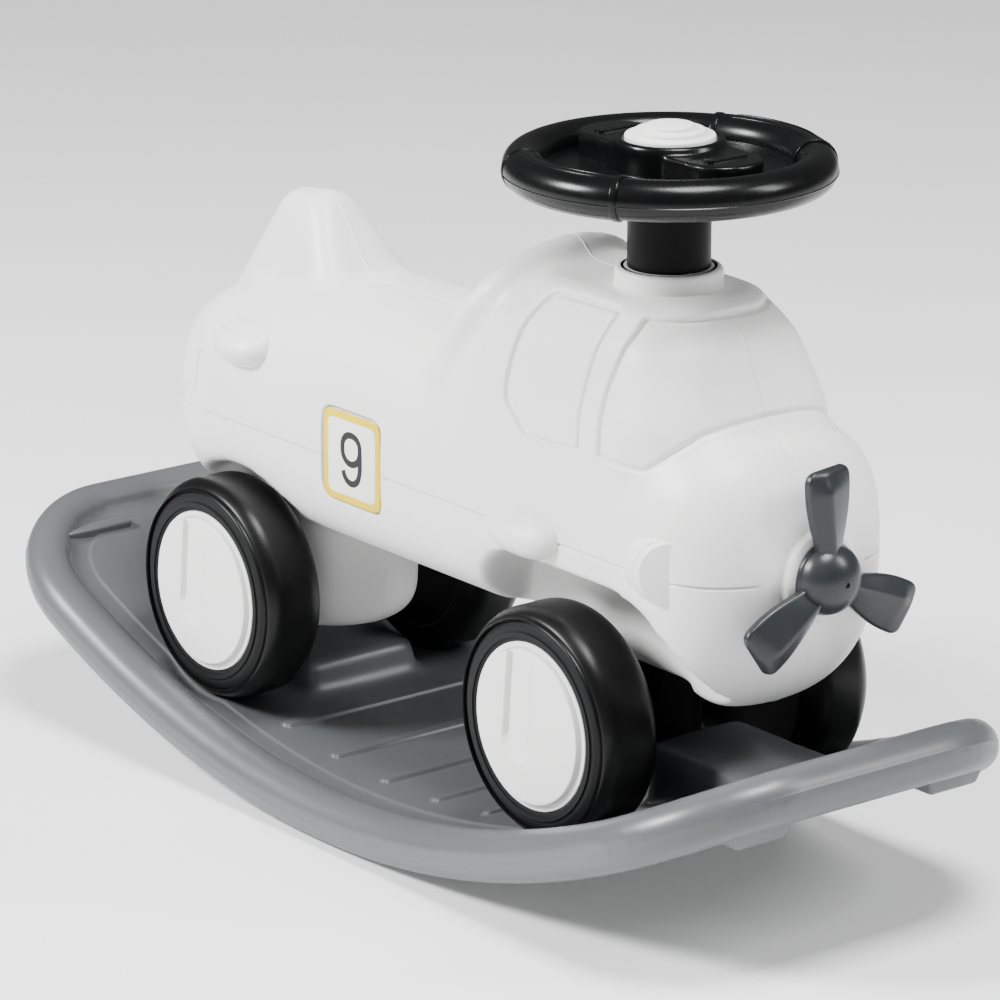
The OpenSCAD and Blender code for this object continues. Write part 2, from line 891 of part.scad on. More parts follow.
module steering_column() {
    top = steering_wheel_height - hub_under;
    length = top - column_low;
    color("#101012") on_axles() translate([front_axle_x, 0, column_low]) difference() {
        cylinder(r = column_r, h = length);
        translate([0, 0, column_web]) cylinder(r = column_r - column_wall, h = length - 2 * column_web);
        translate([0, 0, -over]) cylinder(r = shaft_r + run_gap, h = length + 2 * over);
    }
}

// The hollow half ring of the rim: upper is 1 for the top half and -1 for the bottom half
module grip_half(upper) {
    rotate_extrude() intersection() {
        translate([grip_ring_r, 0]) difference() {
            circle(d = grip_d);
            circle(d = grip_d - 2 * grip_wall);
        }
        translate([0, upper > 0 ? 0 : -grip_d]) square([steering_wheel_d, grip_d]);
    }
}

// Two spokes from the hub to the rim, fore and aft
module spokes(low, high) {
    reach = grip_ring_r - grip_d / 2 + grip_wall;
    for (turn = [0, 180]) rotate(turn) translate([wheel_hub_d * spoke_in_share, -spoke_w / 2, low])
        cube([reach - wheel_hub_d * spoke_in_share, spoke_w, high - low]);
}

module at_steering_wheel() on_axles() translate([front_axle_x, 0, steering_wheel_height]) children();

module screw_places() {
    for (turn = [0, 180], side = [-1, 1]) rotate(turn)
        translate([grip_ring_r * screw_x_share, side * screw_y, 0]) children();
}

module steering_wheel_lower() {
    color("#101012") at_steering_wheel() difference() {
        union() {
            grip_half(-1);
            spokes(-spoke_t, 0);
            translate([0, 0, -hub_under]) cylinder(d = wheel_hub_d, h = hub_under);
        }
        translate([0, 0, hub_floor - hub_under])
            cylinder(d = wheel_hub_d - 2 * wheel_hub_wall, h = hub_under);
        translate([0, 0, -hub_under - over]) cylinder(r = shaft_r + run_gap, h = hub_under);
        screw_places() translate([0, 0, -spoke_t - over]) {
            cylinder(d = screw_d + 2 * run_gap, h = spoke_t + 2 * over);
            cylinder(d = screw_head_d + 2 * snap_gap, h = screw_head_w + over);
        }
    }
}

module steering_wheel_upper() {
    color("#101012") at_steering_wheel() difference() {
        union() {
            grip_half(1);
            spokes(0, spoke_t);
            cylinder(d = wheel_hub_d, h = hub_over);
        }
        translate([0, 0, -over])
            cylinder(d = wheel_hub_d - 2 * wheel_hub_wall, h = hub_over - hub_ring + over);
        cylinder(d = horn_d + 2 * horn_gap, h = hub_over + over);
        screw_places() translate([0, 0, -over])
            cylinder(d = screw_d + 2 * run_gap, h = spoke_t - screw_end + over);
    }
}

// The plates that close the steering wheel between its spokes
module steering_wheel_floor() {
    reach = grip_ring_r - grip_d / 2 - face_gap;
    cut_w = spoke_w + 2 * face_gap;
    color("#101012") at_steering_wheel() translate([0, 0, -wheel_floor_w]) difference() {
        cylinder(r = reach, h = wheel_floor_w);
        translate([0, 0, -over]) cylinder(r = wheel_hub_d / 2 + face_gap, h = wheel_floor_w + 2 * over);
        translate([-reach - over, -cut_w / 2, -over])
            cube([2 * reach + 2 * over, cut_w, wheel_floor_w + 2 * over]);
    }
}

module steering_wheel_screws() {
    color("silver") at_steering_wheel() screw_places() translate([0, 0, -spoke_t]) {
        cylinder(d = screw_head_d, h = screw_head_w);
        cylinder(d = screw_d, h = 2 * (spoke_t - screw_end));
    }
}

module steering_nut() {
    color("silver") at_steering_wheel() translate([0, 0, hub_floor - hub_under]) difference() {
        cylinder(d = steering_nut_d, h = steering_nut_w, $fn = 6);
        translate([0, 0, -over]) cylinder(r = shaft_r + run_gap, h = steering_nut_w + 2 * over);
    }
}

// Horn

horn_lip_top = hub_over - hub_ring - face_gap;
horn_lip_low = horn_lip_top - horn_lip_w;

module horn_bellows() {
    inner = steering_nut_d / 2 + face_gap * 3;
    low = hub_floor - hub_under;
    color("#303236") at_steering_wheel() translate([0, 0, low]) difference() {
        cylinder(r = inner + bellows_wall, h = horn_lip_low - low);
        translate([0, 0, -over]) cylinder(r = inner, h = horn_lip_low - low + 2 * over);
    }
}

module horn_button() {
    color("whitesmoke") at_steering_wheel() {
        translate([0, 0, horn_lip_low]) cylinder(d = horn_d + 2 * horn_lip, h = horn_lip_w);
        translate([0, 0, horn_lip_low]) cylinder(d = horn_d, h = hub_over - horn_lip_low + horn_proud);
        for (k = [0 : len(horn_step_shares) - 1]) translate([0, 0, hub_over + horn_proud - over])
            cylinder(d = horn_d * horn_step_shares[k], h = over + k * horn_step_rise);
    }
}

// Propeller

module propeller_pin() {
    color("silver") on_axles() translate([0, 0, belt_height]) rotate([0, 90, 0]) {
        translate([0, 0, boss_root - pin_flange_w]) cylinder(d = pin_flange_d, h = pin_flange_w);
        translate([0, 0, boss_root]) cylinder(d = propeller_pin_d, h = propeller_face - boss_root + pin_end);
    }
}

module propeller_washer() {
    color("silver") on_axles() translate([boss_face, 0, belt_height]) rotate([0, 90, 0]) difference() {
        cylinder(d = propeller_washer_d, h = face_gap * 2);
        translate([0, 0, -over]) cylinder(d = propeller_pin_d + 2 * run_gap, h = face_gap * 2 + 2 * over);
    }
}

// One blade along +Z, wider towards its tip and thinner there
module blade() {
    tip = propeller_d / 2 - blade_corner;
    rotate([0, 0, blade_pitch]) hull() {
        translate([0, 0, propeller_hub_d / 3]) linear_extrude(over)
            square([blade_t, blade_root_w], center = true);
        for (side = [-1, 1]) translate([0, side * (blade_w / 2 - blade_corner), tip]) rotate([0, 90, 0])
            cylinder(r = blade_corner, h = blade_tip_t, center = true, $fn = mesh_sides);
    }
}

module propeller() {
    hub_r = propeller_hub_d / 2;
    dome_r = (hub_r * hub_r + propeller_hub_w * propeller_hub_w) / (2 * propeller_hub_w);
    color("#46494d") on_axles() translate([propeller_face, 0, belt_height]) difference() {
        union() {
            rotate([0, 90, 0]) cylinder(r = hub_r, h = propeller_dome);
            rotate([0, 90, 0]) rotate_extrude() intersection() {
                translate([0, propeller_hub_w + propeller_dome - dome_r]) circle(r = dome_r);
                translate([0, propeller_dome]) square([hub_r, propeller_hub_w]);
            }
            for (k = [0 : blade_count - 1]) rotate([blade_start + k * 360 / blade_count, 0, 0])
                translate([blade_offset, 0, 0]) blade();
        }
        translate([-over, 0, 0]) rotate([0, 90, 0])
            cylinder(d = propeller_pin_d + 2 * run_gap, h = pin_end + face_gap + over);
        rotate([0, 90, 0]) cylinder(d = pinhole_d, h = propeller_hub_w + propeller_dome + over);
    }
}

// What is drawn

rocker_board();
body_shell();
number_label(0);  // number_label_right
number_label(1);  // number_label_left
upper_column_bush();
lower_column_bush();
propeller_pin();
propeller_washer();
propeller();
axle(rear_axle_x);  // rear_axle
rear_axle_bushes();
axle_washers(rear_axle_x);  // rear_axle_washers
axle_push_nuts(rear_axle_x);  // rear_axle_push_nuts
front_axle_yoke();
axle(front_axle_x);  // front_axle
axle_washers(front_axle_x);  // front_axle_washers
axle_push_nuts(front_axle_x);  // front_axle_push_nuts
steering_shaft();
shaft_cross_pin();
steering_column();
steering_wheel_lower();
steering_wheel_upper();
steering_wheel_floor();
steering_wheel_screws();
steering_nut();
horn_bellows();
horn_button();
for (lengthwise = [1, -1], side = [-1, 1]) {
    corner = str(lengthwise > 0 ? "front" : "rear", side < 0 ? "_right" : "_left");
    at_corner(lengthwise, side) tyre();
    at_corner(lengthwise, side) wheel_rim();
    at_corner(lengthwise, side) hub_cap();
}
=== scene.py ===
"""Looks of the ride-on aeroplane and its rocking board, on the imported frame."""
import math

import bmesh
import bpy
import numpy as np
from mathutils import Matrix, Vector


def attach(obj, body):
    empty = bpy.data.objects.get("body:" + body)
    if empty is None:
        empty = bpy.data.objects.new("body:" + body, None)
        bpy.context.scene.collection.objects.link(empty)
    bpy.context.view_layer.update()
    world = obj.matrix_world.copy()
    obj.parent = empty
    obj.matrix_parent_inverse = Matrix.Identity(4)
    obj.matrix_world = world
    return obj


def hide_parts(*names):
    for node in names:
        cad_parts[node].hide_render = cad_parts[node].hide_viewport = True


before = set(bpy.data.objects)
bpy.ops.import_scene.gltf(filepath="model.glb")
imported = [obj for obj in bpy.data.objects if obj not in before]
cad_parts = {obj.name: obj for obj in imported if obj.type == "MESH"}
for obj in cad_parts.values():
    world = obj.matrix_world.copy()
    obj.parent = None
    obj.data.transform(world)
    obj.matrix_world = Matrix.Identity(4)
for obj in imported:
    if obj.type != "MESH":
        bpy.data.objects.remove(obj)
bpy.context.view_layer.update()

# Sizes are in millimetres; those of the toy count from the middle of its axles
MM = 0.001
TURN = 2 * math.pi
FLOOR = Matrix.Identity(4)
AXLES = Matrix.Translation((8, 0, 120))
FRONT_AXLE = 174
REAR_AXLE = -174
WHEEL_Y = 86
BELT = 113
LABEL_X = -43.5
LABEL_Z = 116.5
LABEL_SIDE = 60
GRIP_Z = 340
GRIP_RING = 90.5
PROPELLER_X = 322.9
SIDES = {"right": -1, "left": 1}
SQUARE = ((-1, -1), (1, -1), (1, 1), (-1, 1))


# Shaders

class Value:
    """A shader socket that sums and products can be written with."""

    def __init__(self, finish, socket):
        self.finish = finish
        self.socket = socket

    def _math(self, operation, first, second):
        return self.finish.node("ShaderNodeMath", {"operation": operation}, {0: first, 1: second})

    def __add__(self, other):
        return self._math("ADD", self, other)

    def __radd__(self, other):
        return self._math("ADD", other, self)

    def __sub__(self, other):
        return self._math("SUBTRACT", self, other)

    def __rsub__(self, other):
        return self._math("SUBTRACT", other, self)

    def __mul__(self, other):
        return self._math("MULTIPLY", self, other)

    def __rmul__(self, other):
        return self._math("MULTIPLY", other, self)


class Finish:
    """A material on the Principled shader; constants are set on its own sockets."""

    def __init__(self, name, **constants):
        self.material = bpy.data.materials.new(name)
        self.material.use_nodes = True
        self.tree = self.material.node_tree
        self.shader = self.tree.nodes["Principled BSDF"]
        for socket, value in constants.items():
            self.shader.inputs[socket.replace("_", " ")].default_value = value

    def node(self, kind, settings=None, inputs=None, output=0):
        node = self.tree.nodes.new(kind)
        for key, value in (settings or {}).items():
            setattr(node, key, value)
        for key, value in (inputs or {}).items():
            if isinstance(value, Value):
                self.tree.links.new(value.socket, node.inputs[key])
            else:
                node.inputs[key].default_value = value
        return Value(self, node.outputs[output])

    def feed(self, socket, value):
        self.tree.links.new(value.socket, self.shader.inputs[socket])

    def noise(self, scale, detail=2.0, stretch=(1, 1, 1)):
        place = self.node("ShaderNodeTexCoord", output="Object")
        place = self.node("ShaderNodeMapping", inputs={"Vector": place, "Scale": stretch})
        return self.node("ShaderNodeTexNoise", inputs={"Vector": place, "Scale": scale, "Detail": detail})

    def spread(self, value, low, high, start=0.3, end=0.7):
        span = {"Value": value, "From Min": start, "From Max": end, "To Min": low, "To Max": high}
        return self.node("ShaderNodeMapRange", inputs=span)

    def mix(self, factor, first, second):
        return self.node("ShaderNodeMix", {"data_type": "RGBA"}, {0: factor, 6: first, 7: second}, 2)

    def relief(self, height, depth, strength=1.0):
        self.feed("Normal", self.node(
            "ShaderNodeBump", inputs={"Height": height, "Distance": depth, "Strength": strength}))


def tint(colour, share):
    return tuple(channel * share for channel in colour) + (1,)


def moulded(name, colour, roughness, grain, mottle=0.04, grain_scale=900, flow=(1, 1, 1), **constants):
    """Moulded plastic: slow clouds of shade, streaks of flow and the fine grain of the mould."""
    finish = Finish(name, **constants)
    cloud = finish.noise(7, 3)
    streak = finish.noise(45, 3, flow)
    fine = finish.noise(grain_scale, 2)
    shade = finish.spread(cloud * 0.7 + streak * 0.3, 0, 1)
    finish.feed("Base Color", finish.mix(shade, tint(colour, 1 - mottle), tint(colour, 1 + mottle / 2)))
    finish.feed("Roughness", finish.spread(fine * 0.5 + streak * 0.5, roughness - 0.06, roughness + 0.06))
    finish.relief(fine * 0.75 + streak * 0.25, grain)
    return finish.material


def plated_steel(name):
    zinc = (0.56, 0.57, 0.58)
    finish = Finish(name, Metallic=1.0)
    brushed = finish.noise(120, 4, (1, 14, 14))
    dull = finish.noise(40, 3)
    finish.feed("Base Color", finish.mix(finish.spread(dull, 0, 1), tint(zinc, 0.85), tint(zinc, 1.05)))
    finish.feed("Roughness", finish.spread(brushed, 0.24, 0.42))
    finish.relief(brushed, 0.00004)
    return finish.material


def printed_film(name, colour):
    finish = Finish(name, Specular_IOR_Level=0.2)
    dots = finish.noise(1600, 1)
    cloud = finish.noise(30, 2)
    finish.feed("Base Color", finish.mix(finish.spread(dots, 0, 1), tint(colour, 0.97), tint(colour, 1.02)))
    finish.feed("Roughness", finish.spread(cloud, 0.3, 0.4))
    finish.relief(cloud * 0.6 + dots * 0.4, 0.00003)
    return finish.material


def floor_finish(name):
    darker = (0.8613, 0.8613, 0.8613, 1)
    paler = (0.88, 0.88, 0.88, 1)
    finish = Finish(name, Emission_Color=(1, 1, 1, 1), Emission_Strength=0.15)
    cloud = finish.noise(3, 2)
    finish.feed("Base Color", finish.mix(finish.spread(cloud, 0, 1), darker, paler))
    finish.feed("Roughness", finish.spread(cloud, 0.7, 0.8))
    return finish.material


BODY_WHITE = moulded("body_white", (0.80, 0.79, 0.785), 0.42, 0.00005)
TRIM_WHITE = moulded("trim_white", (0.80, 0.80, 0.79), 0.4, 0.00002, grain_scale=1400)
BOARD_GREY = moulded("board_grey", (0.085, 0.09, 0.095), 0.36, 0.00003, 0.06, flow=(0.2, 1, 1))
PROPELLER_GREY = moulded("propeller_grey", (0.019, 0.022, 0.025), 0.32, 0.00002, 0.06,
                         Specular_IOR_Level=0.35)
TYRE_BLACK = moulded("tyre_black", (0.003, 0.003, 0.0033), 0.36, 0.00002, 0.15, 1100,
                     Specular_IOR_Level=0.2)
RIM_DARK = moulded("rim_dark", (0.012, 0.0122, 0.0128), 0.6, 0.00002, 0.1, Specular_IOR_Level=0.1)
STEERING_BLACK = moulded("steering_black", (0.003, 0.0031, 0.0034), 0.26, 0.000006, 0.15, 1200,
                         Specular_IOR_Level=0.22)
COLUMN_BLACK = moulded("column_black", (0.003, 0.0031, 0.0034), 0.4, 0.00001, 0.15, Specular_IOR_Level=0.08)
GEAR_BLACK = moulded("gear_black", (0.006, 0.006, 0.0065), 0.5, 0.00003, 0.15, Specular_IOR_Level=0.2)
BELLOWS_RUBBER = moulded("bellows_rubber", (0.02, 0.02, 0.022), 0.7, 0.00005, 0.12)
STEEL = plated_steel("steel")
LABEL_YELLOW = printed_film("label_yellow", (0.72, 0.53, 0.0))
LABEL_WHITE = printed_film("label_white", (0.84, 0.83, 0.79))
LABEL_INK = printed_film("label_ink", (0.006, 0.0065, 0.008))


# Shaping helpers

def swell(value, power):
    return math.copysign(abs(value) ** power, value)


def smoothstep(value, low, high):
    share = np.clip((value - low) / (high - low), 0, 1)
    return share * share * (3 - 2 * share)


def between(table, at):
    """A value read from rows of (place, value), smoothly from row to row."""
    for (a, first), (b, second) in zip(table, table[1:]):
        if at <= b:
            return first + (second - first) * smoothstep(at, a, b)
    return table[-1][1]


def eased(corners, steps=4, loop=True):
    """An outline of (across, up, rounding) corners with its corners rounded."""
    points = []
    for k, (x, y, rounding) in enumerate(corners):
        corner = Vector((x, y))
        if rounding == 0 or (not loop and k in (0, len(corners) - 1)):
            points.append(corner)
            continue
        before = Vector(corners[k - 1][:2]) - corner
        after = Vector(corners[(k + 1) % len(corners)][:2]) - corner
        start = corner + before.normalized() * min(rounding, before.length / 2)
        end = corner + after.normalized() * min(rounding, after.length / 2)
        for step in range(steps + 1):
            t = step / steps
            points.append(start.lerp(corner, t).lerp(corner.lerp(end, t), t))
    return points


def edges_of(bm, ring):
    return [bm.edges.get((ring[k - 1], ring[k])) for k in range(len(ring))]


def loft(bm, rings, closed=False):
    """A skin over rings of points, with its ends closed or joined."""
    ring = bmesh.ops.create_circle(bm, segments=len(rings[0]), radius=1)["verts"]
    first = ring
    for step, points in enumerate(rings):
        if step:
            grown = bmesh.ops.extrude_edge_only(bm, edges=edges_of(bm, ring))["geom"]
            new = {item for item in grown if isinstance(item, bmesh.types.BMVert)}
            ring = [next(e.other_vert(v) for e in v.link_edges if e.other_vert(v) in new) for v in ring]
        for vert, point in zip(ring, points):
            vert.co = point
    if closed:
        bmesh.ops.bridge_loops(bm, edges=edges_of(bm, first) + edges_of(bm, ring))
    else:
        for end in (first, ring):
            bmesh.ops.contextual_create(bm, geom=edges_of(bm, end))


def sweep(bm, place, steps, sides, closed=False):
    """A tube of rings; place(share along, share round) gives its points."""
    part = bmesh.new()
    count = steps if closed else steps + 1
    rings = [[place(step / steps, turn / sides) for turn in range(sides)] for step in range(count)]
    loft(part, rings, closed)
    join(bm, part)


def along_path(path, radius_at):
    """Points of a round tube along path(share), for sweep."""
    def place(along, turn):
        here = path(along)
        way = (path(along + 0.001) - path(along - 0.001)).normalized()
        side = way.cross(Vector((1, 0, 0.2))).normalized()
        angle = TURN * turn
        return here + radius_at(along) * (math.cos(angle) * side + math.sin(angle) * way.cross(side))
    return place


def join(bm, part):
    """Add a shape to another one."""
    held = bpy.data.meshes.new("held")
    part.to_mesh(held)
    part.free()
    bm.from_mesh(held)
    bpy.data.meshes.remove(held)


def turned(outline, at=FLOOR, sides=96, closed=False):
    """The shape that an outline of (radius, height) points makes when it turns about Z."""
    bm = bmesh.new()
    verts = [bm.verts.new((radius, 0, height)) for radius, height in outline]
    pairs = zip(verts, verts[1:] + verts[:1]) if closed else zip(verts, verts[1:])
    edges = [bm.edges.new(pair) for pair in pairs]
    bmesh.ops.spin(bm, geom=verts + edges, cent=(0, 0, 0), axis=(0, 0, 1), angle=TURN, steps=sides,
                   use_merge=True)
    bmesh.ops.remove_doubles(bm, verts=bm.verts, dist=0.001)
    bm.transform(at)
    return bm


def hulled(bm, verts):
    """Wrap some vertices in their convex hull."""
    made = bmesh.ops.convex_hull(bm, input=verts)
    spare = {item for key in ("geom_interior", "geom_unused") for item in made[key]}
    spare_verts = [item for item in spare if isinstance(item, bmesh.types.BMVert)]
    bmesh.ops.delete(bm, geom=spare_verts, context="VERTS")
    loose = [edge for edge in bm.edges if not edge.link_faces]
    bmesh.ops.delete(bm, geom=loose, context="EDGES")


def discs(bm, rows, sides=40):
    """Circles of (x, y, z, radius), as vertices for a hull."""
    verts = []
    for x, y, z, radius in rows:
        spot = Matrix.Translation((x, y, z))
        verts += bmesh.ops.create_circle(bm, segments=sides, radius=radius, matrix=spot)["verts"]
    return verts


def as_object(bm, name):
    mesh = bpy.data.meshes.new(name)
    bm.to_mesh(mesh)
    bm.free()
    made = bpy.data.objects.new(name, mesh)
    bpy.context.collection.objects.link(made)
    return made


def after(bm, kind, **settings):
    """The shape after a modifier."""
    work = as_object(bm, "work")
    modifier = work.modifiers.new(kind, kind)
    for key, value in settings.items():
        setattr(modifier, key, value)
    done = bmesh.new()
    done.from_object(work, bpy.context.evaluated_depsgraph_get())
    mesh = work.data
    bpy.data.objects.remove(work)
    bpy.data.meshes.remove(mesh)
    return done


def remeshed(bm, voxel):
    return after(bm, "REMESH", mode="VOXEL", voxel_size=voxel)


def cut(bm, tool):
    """The shape less another one."""
    cutter = as_object(tool, "cutter")
    done = after(bm, "BOOLEAN", operation="DIFFERENCE", solver="MANIFOLD", object=cutter)
    mesh = cutter.data
    bpy.data.objects.remove(cutter)
    bpy.data.meshes.remove(mesh)
    return done


def soften(bm, rounds, verts=None):
    for _ in range(rounds):
        bmesh.ops.smooth_vert(bm, verts=verts or bm.verts, factor=0.5, use_axis_x=True, use_axis_y=True,
                              use_axis_z=True)


def bevel(bm, edges, offset, segments=3, clamp=True):
    bmesh.ops.bevel(bm, geom=edges, offset=offset, offset_type="OFFSET", affect="EDGES", segments=segments,
                    profile=0.5, material=-1, clamp_overlap=clamp)


def everything(bm):
    return bm.verts[:] + bm.edges[:] + bm.faces[:]


def spots(bm):
    """The places of the vertices, one row each."""
    return np.array([vert.co.to_tuple() for vert in bm.verts])


def inside(points, outline):
    """Distance of flat points from an outline, positive inside it."""
    near = np.full(len(points), 1e9)
    odd = np.zeros(len(points), bool)
    line = np.array([tuple(point) for point in outline])
    for a, b in zip(line, np.roll(line, -1, axis=0)):
        way = b - a
        if not way.any():
            continue
        share = np.clip((points - a) @ way / (way @ way), 0, 1)
        near = np.minimum(near, np.linalg.norm(points - a - share[:, None] * way, axis=1))
        if a[1] != b[1]:
            across = (a[1] > points[:, 1]) != (b[1] > points[:, 1])
            odd ^= across & (points[:, 0] < a[0] + way[0] * (points[:, 1] - a[1]) / way[1])
    return np.where(odd, near, -near)


def refine(bm, gap_at, *reaches):
    """Halve the faces within each reach of where gap_at(places) is zero."""
    for reach in reaches:
        close = abs(gap_at(spots(bm))) < reach
        bm.verts.index_update()
        edges = [edge for edge in bm.edges if close[edge.verts[0].index] and close[edge.verts[1].index]]
        bmesh.ops.subdivide_edges(bm, edges=edges, cuts=1, use_grid_fill=True)


def push_in(bm, depth_at):
    """Push the surface in along its normals by depth_at(places)."""
    bm.normal_update()
    for vert, depth in zip(bm.verts, depth_at(spots(bm))):
        if depth:
            vert.co -= vert.normal * depth


def panel(bm, flat, chosen, outline, depth, edge=1.6, groove=0.0):
    """Recess a panel where chosen(places) holds, with a groove along its edge; flat(places) lays them out."""
    def gap(places):
        gaps = np.full(len(places), -1e6)
        near = chosen(places)
        gaps[near] = inside(flat(places[near]), outline)
        return gaps

    def depth_at(places):
        gaps = gap(places)
        return depth * smoothstep(gaps, 0, edge) + groove * np.exp(-((gaps - edge) / edge) ** 2)
    refine(bm, gap, 9, 6, 4)
    push_in(bm, depth_at)


def score(bm, spot, way, width, depth_at):
    """Cut a fine line where a plane meets the surface; depth_at(point) says how deep."""
    way = Vector(way)
    for offset in (-width / 2, width / 2, 0):
        bmesh.ops.bisect_plane(bm, geom=everything(bm), dist=0.0001, plane_co=Vector(spot) + offset * way,
                               plane_no=way)
    bm.normal_update()
    moves = [(vert, vert.normal * depth_at(vert.co)) for vert in bm.verts
             if abs((vert.co - Vector(spot)).dot(way)) < 0.01]
    for vert, move in moves:
        vert.co -= move


def piece(bm, name, body, finish, at=AXLES, nodes=(), slot=None, crease=40):
    """Put a shape in the frame as a piece that rides on a body."""
    bmesh.ops.recalc_face_normals(bm, faces=bm.faces)
    bm.transform(Matrix.Scale(MM, 4) @ at)
    made = as_object(bm, name)
    made.data.shade_smooth()
    made.data.set_sharp_from_angle(angle=math.radians(crease))
    made.data.materials.append(finish)
    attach(made, body)
    if nodes:
        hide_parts(*nodes)
    return made


# Body

TOP_LINE = [(0, 0.863), (0.1, 0.95), (0.18, 0.99), (0.3, 1), (0.6, 1), (0.78, 0.97), (0.9, 0.92), (1, 0.874)]
CAB_LEVELS = [
    (12, 266, 84, 62, 113),
    (36, 270, 80, 58, 196),
    (64, 250, 66, 48, 240),
    (96, 226, 47, 36, 266),
]
WINDOW = [
    (125, 261, 8), (190, 262, 5), (187, 244, 20), (184.5, 222, 20), (185, 198, 20), (186, 174, 5),
    (134, 171, 8), (111, 191, 6), (107.5, 214, 20), (112, 240, 20),
]
WINDSHIELD = [
    (39, 260, 4), (48.4, 243, 4), (54.5, 219, 6), (56.7, 198, 6), (57, 174.5, 4), (39, 172.6, 5),
    (30.5, 186, 5), (22.4, 196, 4), (13.2, 199.6, 3), (0, 200.4, 0),
]
GLASS = {"depth": 0.6, "edge": 1.5, "groove": 2.4}
BELT_GROOVE = 2.4
BODY_VOXEL = 3.2


def fuselage_station(along):
    """Place, half width, rise and drop of the fuselage, from tail to nose."""
    tail = -199
    nose = 258
    half = 84
    cap_power = 2 / 2.25
    if along < 0.25 or along > 0.75:
        angle = (abs(along - 0.5) - 0.25) / 0.25 * 0.98 * TURN / 4
        out = swell(math.sin(angle), cap_power)
        share = swell(math.cos(angle), cap_power)
        if along < 0.25:
            return tail - 84 * out, half * share, 82 * share, 71 * share
        return nose + 60 * out, half * share, 83 * share, 95 * share
    share = (along - 0.25) / 0.5
    chin = max(0, (share - 0.62) / 0.38)
    return tail + (nose - tail) * share, half, 95 * between(TOP_LINE, share), 71 + 24 * chin


def fuselage(bm):
    """The long body, rounder under the nose than elsewhere."""
    def place(along, turn):
        x, half, rise, drop = fuselage_station(along)
        angle = TURN * turn
        power = 2 / (3 - 0.55 * smoothstep(along, 0.6, 0.82)) if math.sin(angle) < 0 else 2 / 3
        up = swell(math.sin(angle), power)
        return Vector((x, half * swell(math.cos(angle), power), BELT + up * (rise if up > 0 else drop)))
    sweep(bm, place, 80, 120)


def cab(bm):
    """The cab, with wide corners in front and tighter ones at the seat."""
    rows = []
    for back, front, half, corner, z in CAB_LEVELS:
        tight = corner * 0.7
        for side in (-1, 1):
            rows.append((back + tight, side * (half - tight), z, tight))
            rows.append((front - corner, side * (half - corner), z, corner))
    hulled(bm, discs(bm, rows))


def coaming(bm):
    """The rolled edge in front of the seat, which sinks into the sides."""
    def path(along):
        angle = (along - 0.5) * TURN / 2
        up = swell(math.cos(angle), 0.9)
        half = 79 - 22 * (1 - up) ** 2
        return Vector((24 + 58 * up, half * math.sin(angle), 172 + 96 * swell(up, 0.85)))
    sweep(bm, along_path(path, lambda along: 10 + 2.5 * math.sin(along * TURN / 2)), 60, 24)


def tail_fin(bm):
    corners = [(-139, 27, 196), (-258, 13, 165), (-176, 8, 245), (-208, 4, 242)]
    join(bm, balls([(x, side * half, z, 12) for x, half, z in corners for side in (-1, 1)]))


def axle_pod(bm):
    outline = eased([(0, -35, 0), (56, -35, 22), (56, 75, 0), (0, 75, 0)], 8, loop=False)
    join(bm, turned(outline, Matrix.Translation((REAR_AXLE, 0, 0))))


def balls(rows):
    """The hull of some balls of (x, y, z, radius)."""
    bm = bmesh.new()
    for x, y, z, radius in rows:
        bmesh.ops.create_icosphere(bm, subdivisions=3, radius=radius, matrix=Matrix.Translation((x, y, z)))
    bmesh.ops.delete(bm, geom=bm.faces[:], context="FACES_ONLY")
    hulled(bm, bm.verts[:])
    return bm


def roof(bm):
    """The slab on the roof, under the collar of the steering column."""
    rows = [(x, side * y, z, 34) for z, x0, x1, y in ((260, 162, 191, 9), (265, 162, 188, 6))
            for x in (x0, x1) for side in (-1, 1)]
    slab = bmesh.new()
    hulled(slab, discs(slab, rows))
    join(bm, slab)


def keel():
    """Boxes for what parts the front wheels: low in front, and higher over the steering gear."""
    front = 400
    width = 72
    top = 140
    bm = bmesh.new()
    for back, low in ((0, 31), (240, 19)):
        spot = Matrix.Translation(((back + front) / 2, 0, (low + top) / 2))
        size = Matrix.Diagonal((front - back, width, top - low, 1))
        bmesh.ops.create_cube(bm, size=1, matrix=spot @ size)
    return bm


def wheel_room():
    """The wells of the front wheels and the arches of the rear ones."""
    bm = bmesh.new()
    verts = []
    for side in (-160, 160):
        upright = Matrix.Translation((0, side, 0)) @ Matrix.Rotation(TURN / 4, 4, "X")
        for x, z, radius in ((124, 53, 42), (212, 25, 70)):
            spot = Matrix.Translation((x, 0, z)) @ upright
            verts += bmesh.ops.create_circle(bm, segments=64, radius=radius, matrix=spot)["verts"]
        for x in (82, 282):
            spot = Matrix.Translation((x, side, -110))
            verts += bmesh.ops.create_circle(bm, segments=4, radius=0.01, matrix=spot)["verts"]
    hulled(bm, verts)
    bm = cut(bm, keel())
    for side in (-1, 1):
        spot = Matrix.Translation((REAR_AXLE, side * 108, 0)) @ Matrix.Rotation(TURN / 4, 4, "X")
        bmesh.ops.create_cone(bm, cap_ends=True, segments=96, radius1=82, radius2=82, depth=104, matrix=spot)
    return bm


def side_view(places):
    return places[:, [0, 2]]


WRAP = 1.8


def wrap_view(places):
    """Way round an upright line in the cab, at WRAP millimetres a degree, and height."""
    turn = np.degrees(np.arctan2(places[:, 1], places[:, 0] - 150))
    return np.stack([WRAP * turn, places[:, 2]], axis=1)


def belt_depth(spot):
    """The groove round the belt, which fades out on the nose."""
    if spot.x > 0:
        return BELT_GROOVE * smoothstep(abs(spot.y), 42, 47)
    return BELT_GROOVE


def seam_depth(spot):
    """The raised line where the halves of the mould met."""
    return -0.35


